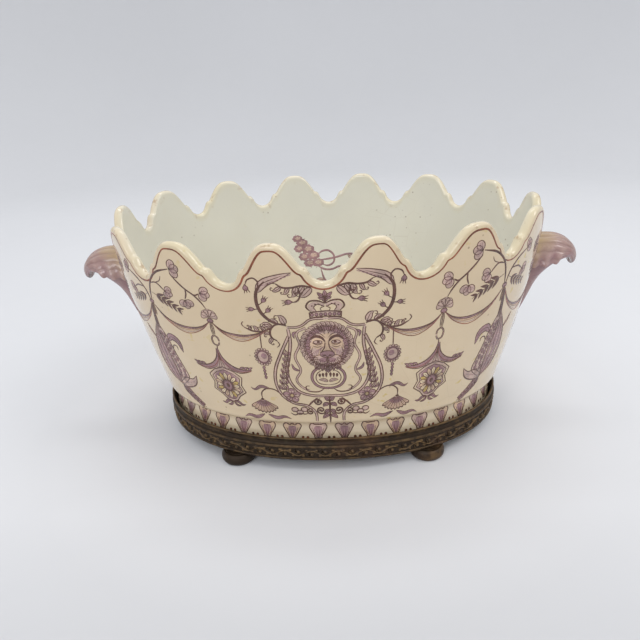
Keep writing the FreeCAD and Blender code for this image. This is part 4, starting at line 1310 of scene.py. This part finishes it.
def inner_bouquet(p):
    """Flower head with looping stems and leaves, painted on the inside of the far wall, x to the right."""
    for x, y, wide, high in (
        (-37, 132.6, 6.0, 4.4), (-32, 128, 7.0, 5.0), (-36, 122, 6.0, 5.0), (-26, 121, 8.0, 5.8),
        (-31, 113, 6.4, 5.2), (-20, 114, 8.0, 5.6), (-25, 106, 7.0, 5.0), (-15, 106, 7.6, 5.2),
    ):
        p.blob(x, y, wide, high, "mauve", 7, 0.16, count=19, height=0.06)
        p.blob(x + 0.6, y + 0.4, wide * 0.55, high * 0.55, "wash", 5, 0.2, count=13, height=0.085)
        for k in range(5):
            q = p.at(x, y, turn=72 * k + 3 * x)
            q.line([(1.0, 0.2), (wide * 0.5, 0.8), (wide * 0.86, 0.2)], 0.4, "mauve", count=6)
    for stem in (
        [(-16, 113), (-10, 118), (-2, 118.6), (4, 113), (3.4, 106), (-3, 102.6), (-10, 104)],
        [(-13, 109), (-4, 109.6), (8, 111.6), (20, 114.6), (34, 113.6)],
        [(-15, 102), (-6, 98.4), (2, 98.6), (10, 101.4), (17, 101)],
        [(34, 113.6), (42, 108), (44, 98), (38, 88)],
        [(-12, 100), (-8, 88), (4, 78), (18, 74)],
    ):
        p.line(stem, 1.9, "mauve")
    for leaf in (
        [(20, 114.6), (27, 108), (28, 101)], [(38, 88), (46, 84), (52, 86)], [(4, 78), (10, 86), (18, 88)],
        [(18, 74), (27, 74), (34, 70)], [(-8, 88), (-17, 86), (-23, 80)], [(42, 108), (50, 108), (56, 104)],
    ):
        p.leaf(leaf, 4.6, "wash", 0.5, 0.4)
    p.flower(37, 87, -70, 1.3)


def skirt_band(pen, petals):
    """Ring of tapering petals round the skirt, two shapes in turn, with pairs of dots between their feet."""
    step = ROUND / petals
    edges = [curve(shape, 16) for shape in (
        [(2.0, 28.0), (4.0, 31), (7.0, 35.8), (8.6, 39.4), (5.6, 41.2), (2.4, 39.6), (0, 41.4)],
        [(3.0, 27.8), (3.4, 30), (6.2, 34.4), (8.2, 38.8), (6.0, 41.4), (3.0, 40.4), (0, 40.4)],
    )]
    core = curve([(0.9, 28.6), (2.8, 32), (4.6, 36.4), (3.4, 38.8), (0, 37)], 12)
    for k in range(petals):
        p = pen.at((k + 0.5) * step, 0)
        edge = edges[k % 2]
        p.fill("blush" if k % 3 else "wash", mirrored(edge), edge, 6, 0.05)
        p.fill("mauve", mirrored(core), core, 5, 0.075)
        for flip in (1, -1):
            q = p.at(0, 0, flip=flip)
            q.line(edge, 0.85, ends=EVEN, count=16)
            q.line([(1.4, 29), (3.6, 32.6), (5.2, 37.4)], 0.5)
            q.line([(0.6, 29), (1.2, 33), (1.4, 36.4)], 0.4)
            q.blob(step / 2 - 2.3, 28.9, 1.05, 1.0, "rust", edge=0.5, count=9)
        p.line([(-2.4, 28.0), (0, 27.6), (2.4, 28.0)], 0.9, ends=EVEN, count=5)


def round_line(form, pen, ink, setback, width):
    """Line round the whole rim at an even distance inside its edge, as the lowest reach of circles whose
    middles follow the edge, closed on itself. Its width swells and thins slowly."""
    count = form.scallops * 96
    x = ROUND * np.arange(count) / count
    off = np.linspace(-setback, setback, 45)
    reach = np.sqrt(np.maximum(setback**2 - off**2, 0))
    level = np.min(form.rim((x[:, None] + off) / ROUND) - reach, axis=1)
    level = (np.roll(level, 1) + 2 * level + np.roll(level, -1)) / 4
    mid = np.stack([x, level], axis=1)
    thick = width * (1 + 0.25 * np.sin(x * 0.11) * np.sin(x * 0.043))[:, None]
    aside = heading(np.concatenate([mid[-1:] - (ROUND, 0), mid, mid[:1] + (ROUND, 0)]))[1][1:-1] * thick / 2
    share = np.array([0.0, 0.12, 0.88, 1.0, 0.88, 0.12])[None, :, None]
    flat = (mid + aside)[:, None] - (2 * aside)[:, None] * share
    pen.add(ink, flat, np.array([SUNK, 0.12, 0.12, SUNK, 2 * SUNK, 2 * SUNK]), closed=True)


def draw_ornament(form):
    """All strokes by ink and region: two long sides in mirrored halves, skirt, bouquet and rim line."""
    inks = {}
    for region, start in (("front", 0.0), ("back", ROUND / 2)):
        cartouche(Pen(inks, region, origin=(start, 0)))
        for flip, side in ((1, "right"), (-1, "left")):
            quarter(Pen(inks, region + "_" + side, origin=(start, 0)).at(0, 0, flip=flip))
    skirt_band(Pen(inks, "skirt"), petals=40)
    inner_bouquet(Pen(inks, "inside", origin=(ROUND / 2, 0)).at(0, 0, flip=-1))
    round_line(form, Pen(inks, "rim"), "rust", setback=4.6, width=1.3)
    return inks


# Operators

class JARDINIERE_OT_bowl(bpy.types.Operator):
    """Builds the glazed bowl with its scalloped rim"""

    bl_idname = "jardiniere.bowl"
    bl_label = "Bowl"

    def execute(self, context):
        form = Form(context.scene.jardiniere_bowl)
        columns = form.scallops * 56
        points, marks = bowl_rows(form, columns)
        piece = make_object(
            "glazed_bowl", points, grid_faces(len(points), columns, closed_rows=True),
            attributes=dict(zip(("inside", "edge", "crease"), np.moveaxis(marks, -1, 0))), sharp=50,
        )
        dress(piece, glaze_material(context.scene.jardiniere_finish), "porcelain", "bowl")
        return {"FINISHED"}


class JARDINIERE_OT_ornament(bpy.types.Operator):
    """Paints the ornament on the wall, the skirt and the rim"""

    bl_idname = "jardiniere.ornament"
    bl_label = "Painted ornament"

    def execute(self, context):
        form = Form(context.scene.jardiniere_bowl)
        finish = context.scene.jardiniere_finish
        pooling, rust_pooling = 0.22, 0.45
        colours = {"cream": finish.glaze}
        for ink in ("line", "mauve", "wash", "ochre", "rust", "gold", "blush"):
            colours[ink] = getattr(finish, ink)
        materials = {
            ink: paint_material(ink + "_paint", colour, rust_pooling if ink == "rust" else pooling)
            for ink, colour in colours.items()
        }
        for (ink, region), strokes in sorted(draw_ornament(form).items()):
            flat = np.concatenate([stroke.reshape(-1, 2) for stroke, _, _ in strokes])
            height = np.concatenate([deep.ravel() for _, deep, _ in strokes])
            faces, ends = join_tubes([(*deep.shape, closed) for _, deep, closed in strokes])
            across, level = flat.T
            inset = 0.0
            if region == "inside":
                inset = form.wall_thickness
                faces, ends = faces[:, ::-1], [end[::-1] for end in ends]
            elif region != "rim":
                level = form.settled(across, level)
            place = form.lifted(across, level, height, inset)
            piece = make_object("painted_" + ink + "_" + region, place, faces, ends)
            dress(piece, materials[ink], "porcelain")
        return {"FINISHED"}


class JARDINIERE_OT_handles(bpy.types.Operator):
    """Builds the two fluted leaf handles with their stems"""

    bl_idname = "jardiniere.handles"
    bl_label = "Leaf handles"

    def execute(self, context):
        form = Form(context.scene.jardiniere_bowl)
        material = handle_material(context.scene.jardiniere_finish)
        tubes = (handle_surface(), stem_surface(form))
        points = np.concatenate([ring.reshape(-1, 3) for ring, _ in tubes])
        marks = np.concatenate([shade.reshape(5, -1) for _, shade in tubes], axis=1)
        faces, ends = join_tubes([(*ring.shape[:2], False) for ring, _ in tubes])
        for side, name in ((1.0, "right_handle"), (-1.0, "left_handle")):
            piece = make_object(
                name + "_leaf", points * (side, side, 1.0), faces, ends,
                attributes=dict(zip(("hollow", "mauve", "lobe", "fold", "tip"), marks)), sharp=60,
            )
            dress(piece, material, "porcelain", name)
        return {"FINISHED"}


class JARDINIERE_OT_base(bpy.types.Operator):
    """Builds the bronze ring with its cast frieze and dresses the feet and fixings"""

    bl_idname = "jardiniere.base"
    bl_label = "Bronze base"

    def execute(self, context):
        finish = context.scene.jardiniere_finish
        columns = 1440
        points, wear_and_highlight = ring_rows(Form(context.scene.jardiniere_bowl), context.scene.jardiniere_base, columns)
        piece = make_object(
            "cast_ring", points, grid_faces(len(points), columns, closed_rows=True),
            attributes={"high": wear_and_highlight}, sharp=48,
        )
        dress(piece, bronze_material("cast_bronze", finish, True), "patinated_bronze", "base_ring")
        feet = [name for name in frame["nodes"] if name.startswith("foot_")]
        groups = {
            bronze_material("foot_bronze", finish, False, -0.32): feet,
            brass_material(finish): ["cross_bar", "bar_screws", "clamp_rod", "dome_nut", "inner_washer",
                                     "under_washer", "under_nut"],
            seal_material(finish): ["seat_gasket", "inner_seal"],
        }
        for material, names in groups.items():
            for name in names:
                for slot in frame["nodes"][name].material_slots:
                    slot.material = material
        return {"FINISHED"}


class JARDINIERE_OT_stage(bpy.types.Operator):
    """Builds the pale sweep of floor and backdrop, the soft lights and the camera"""

    bl_idname = "jardiniere.stage"
    bl_label = "Stage"

    def execute(self, context):
        scene = context.scene
        self.add_sweep(scene.jardiniere_finish)
        self.add_lights(scene)
        self.add_camera(scene)
        scene.view_settings.view_transform = "Standard"
        return {"FINISHED"}

    def add_sweep(self, finish):
        """Round floor that curves up into a wall all round, as a profile turned about the middle."""
        inner, reach, radius, wall_top, around = [150.0, 800.0], 1500.0, 900.0, 1150.0, 128
        turn = np.linspace(0, np.pi / 2, 25)
        out = np.concatenate([inner, reach + radius * np.sin(turn), [reach + radius]])[:, None]
        z = np.concatenate([[0.0, 0.0], radius * (1 - np.cos(turn)), [wall_top]])[:, None]
        angle = -math.tau * np.arange(around) / around
        points = np.stack(np.broadcast_arrays(out * np.cos(angle), out * np.sin(angle), z), axis=-1)
        sweep = make_object("sweep", points, grid_faces(len(out), around), [np.arange(around)[::-1]])
        sweep.data.materials.append(sweep_material(finish))

    def add_lights(self, scene):
        """Bright even room and three soft panels turned to the middle of the bowl."""
        middle = np.array((0.0, 0.0, 0.09))
        world = bpy.data.worlds.new("soft_room")
        world.use_nodes = True
        background = world.node_tree.nodes["Background"]
        background.inputs["Color"].default_value = (0.97, 0.98, 1.0, 1.0)
        background.inputs["Strength"].default_value = 1.05
        scene.world = world
        for name, place, extent, power, colour in (
            ("key_window", (1.15, -0.5, 1.55), (0.6, 0.6), 5.0, (1.0, 0.985, 0.96)),
            ("front_fill", (-0.7, -1.75, 1.1), (0.8, 0.8), 7.5, (0.97, 0.98, 1.0)),
            ("top_panel", (0.0, 0.5, 1.9), (1.1, 0.3), 5.0, (1.0, 1.0, 1.0)),
        ):
            lamp = bpy.data.lights.new(name, "AREA")
            lamp.shape = "RECTANGLE"
            lamp.size, lamp.size_y = extent
            lamp.energy = power
            lamp.color = colour
            lamp_object = bpy.data.objects.new(name, lamp)
            lamp_object.matrix_world = aim(place, place - middle, (0.0, 0.0, 1.0))
            scene.collection.objects.link(lamp_object)

    def add_camera(self, scene):
        """Camera a little above the rim, in front of the bowl."""
        camera = bpy.data.cameras.new("camera")
        camera.lens, camera.sensor_width = 33.89, 36.0
        camera.shift_x, camera.shift_y = -0.0159, -0.0061
        camera.clip_start, camera.clip_end = 0.01, 50.0
        camera_object = bpy.data.objects.new("camera", camera)
        camera_object.matrix_world = aim(
            (0.01208, -0.52059, 0.29755), (0.02154, -0.92869, 0.37024), (0.02937, 0.37075, 0.92827)
        )
        scene.collection.objects.link(camera_object)
        scene.camera = camera_object


def aim(place, back, up):
    """Matrix of a lamp or camera whose back axis and upward direction are given."""
    back = np.array(back, float) / np.linalg.norm(back)
    right = np.cross(up, back)
    right /= np.linalg.norm(right)
    matrix = np.eye(4)
    matrix[:3] = np.stack([right, np.cross(back, right), back, place], axis=1)
    return Matrix(matrix.tolist())


class JARDINIERE_PT_panel(bpy.types.Panel):
    """Lists the operators and the settings in the sidebar"""

    bl_label = "Jardiniere"
    bl_idname = "JARDINIERE_PT_panel"
    bl_space_type = "VIEW_3D"
    bl_region_type = "UI"
    bl_category = "Jardiniere"

    def draw(self, context):
        column = self.layout.column()
        for operator in OPERATORS:
            column.operator(operator.bl_idname)
        for key in GROUPS:
            group = getattr(context.scene, key)
            box = self.layout.box()
            for name in group.bl_rna.properties.keys():
                if name not in ("rna_type", "name"):
                    box.prop(group, name)


OPERATORS = (JARDINIERE_OT_bowl, JARDINIERE_OT_ornament, JARDINIERE_OT_handles, JARDINIERE_OT_base,
             JARDINIERE_OT_stage)
GROUPS = {
    "jardiniere_bowl": BowlSettings, "jardiniere_base": BaseSettings, "jardiniere_finish": FinishSettings,
}


def register():
    for kind in (*GROUPS.values(), *OPERATORS, JARDINIERE_PT_panel):
        bpy.utils.register_class(kind)
    for name, kind in GROUPS.items():
        setattr(bpy.types.Scene, name, PointerProperty(type=kind))


def unregister():
    for name in GROUPS:
        delattr(bpy.types.Scene, name)
    for kind in (JARDINIERE_PT_panel, *OPERATORS[::-1], *GROUPS.values()):
        bpy.utils.unregister_class(kind)


def main():
    register()
    bpy.ops.jardiniere.bowl()
    bpy.ops.jardiniere.ornament()
    bpy.ops.jardiniere.handles()
    bpy.ops.jardiniere.base()
    bpy.ops.jardiniere.stage()


if __name__ == "__main__":
    main()
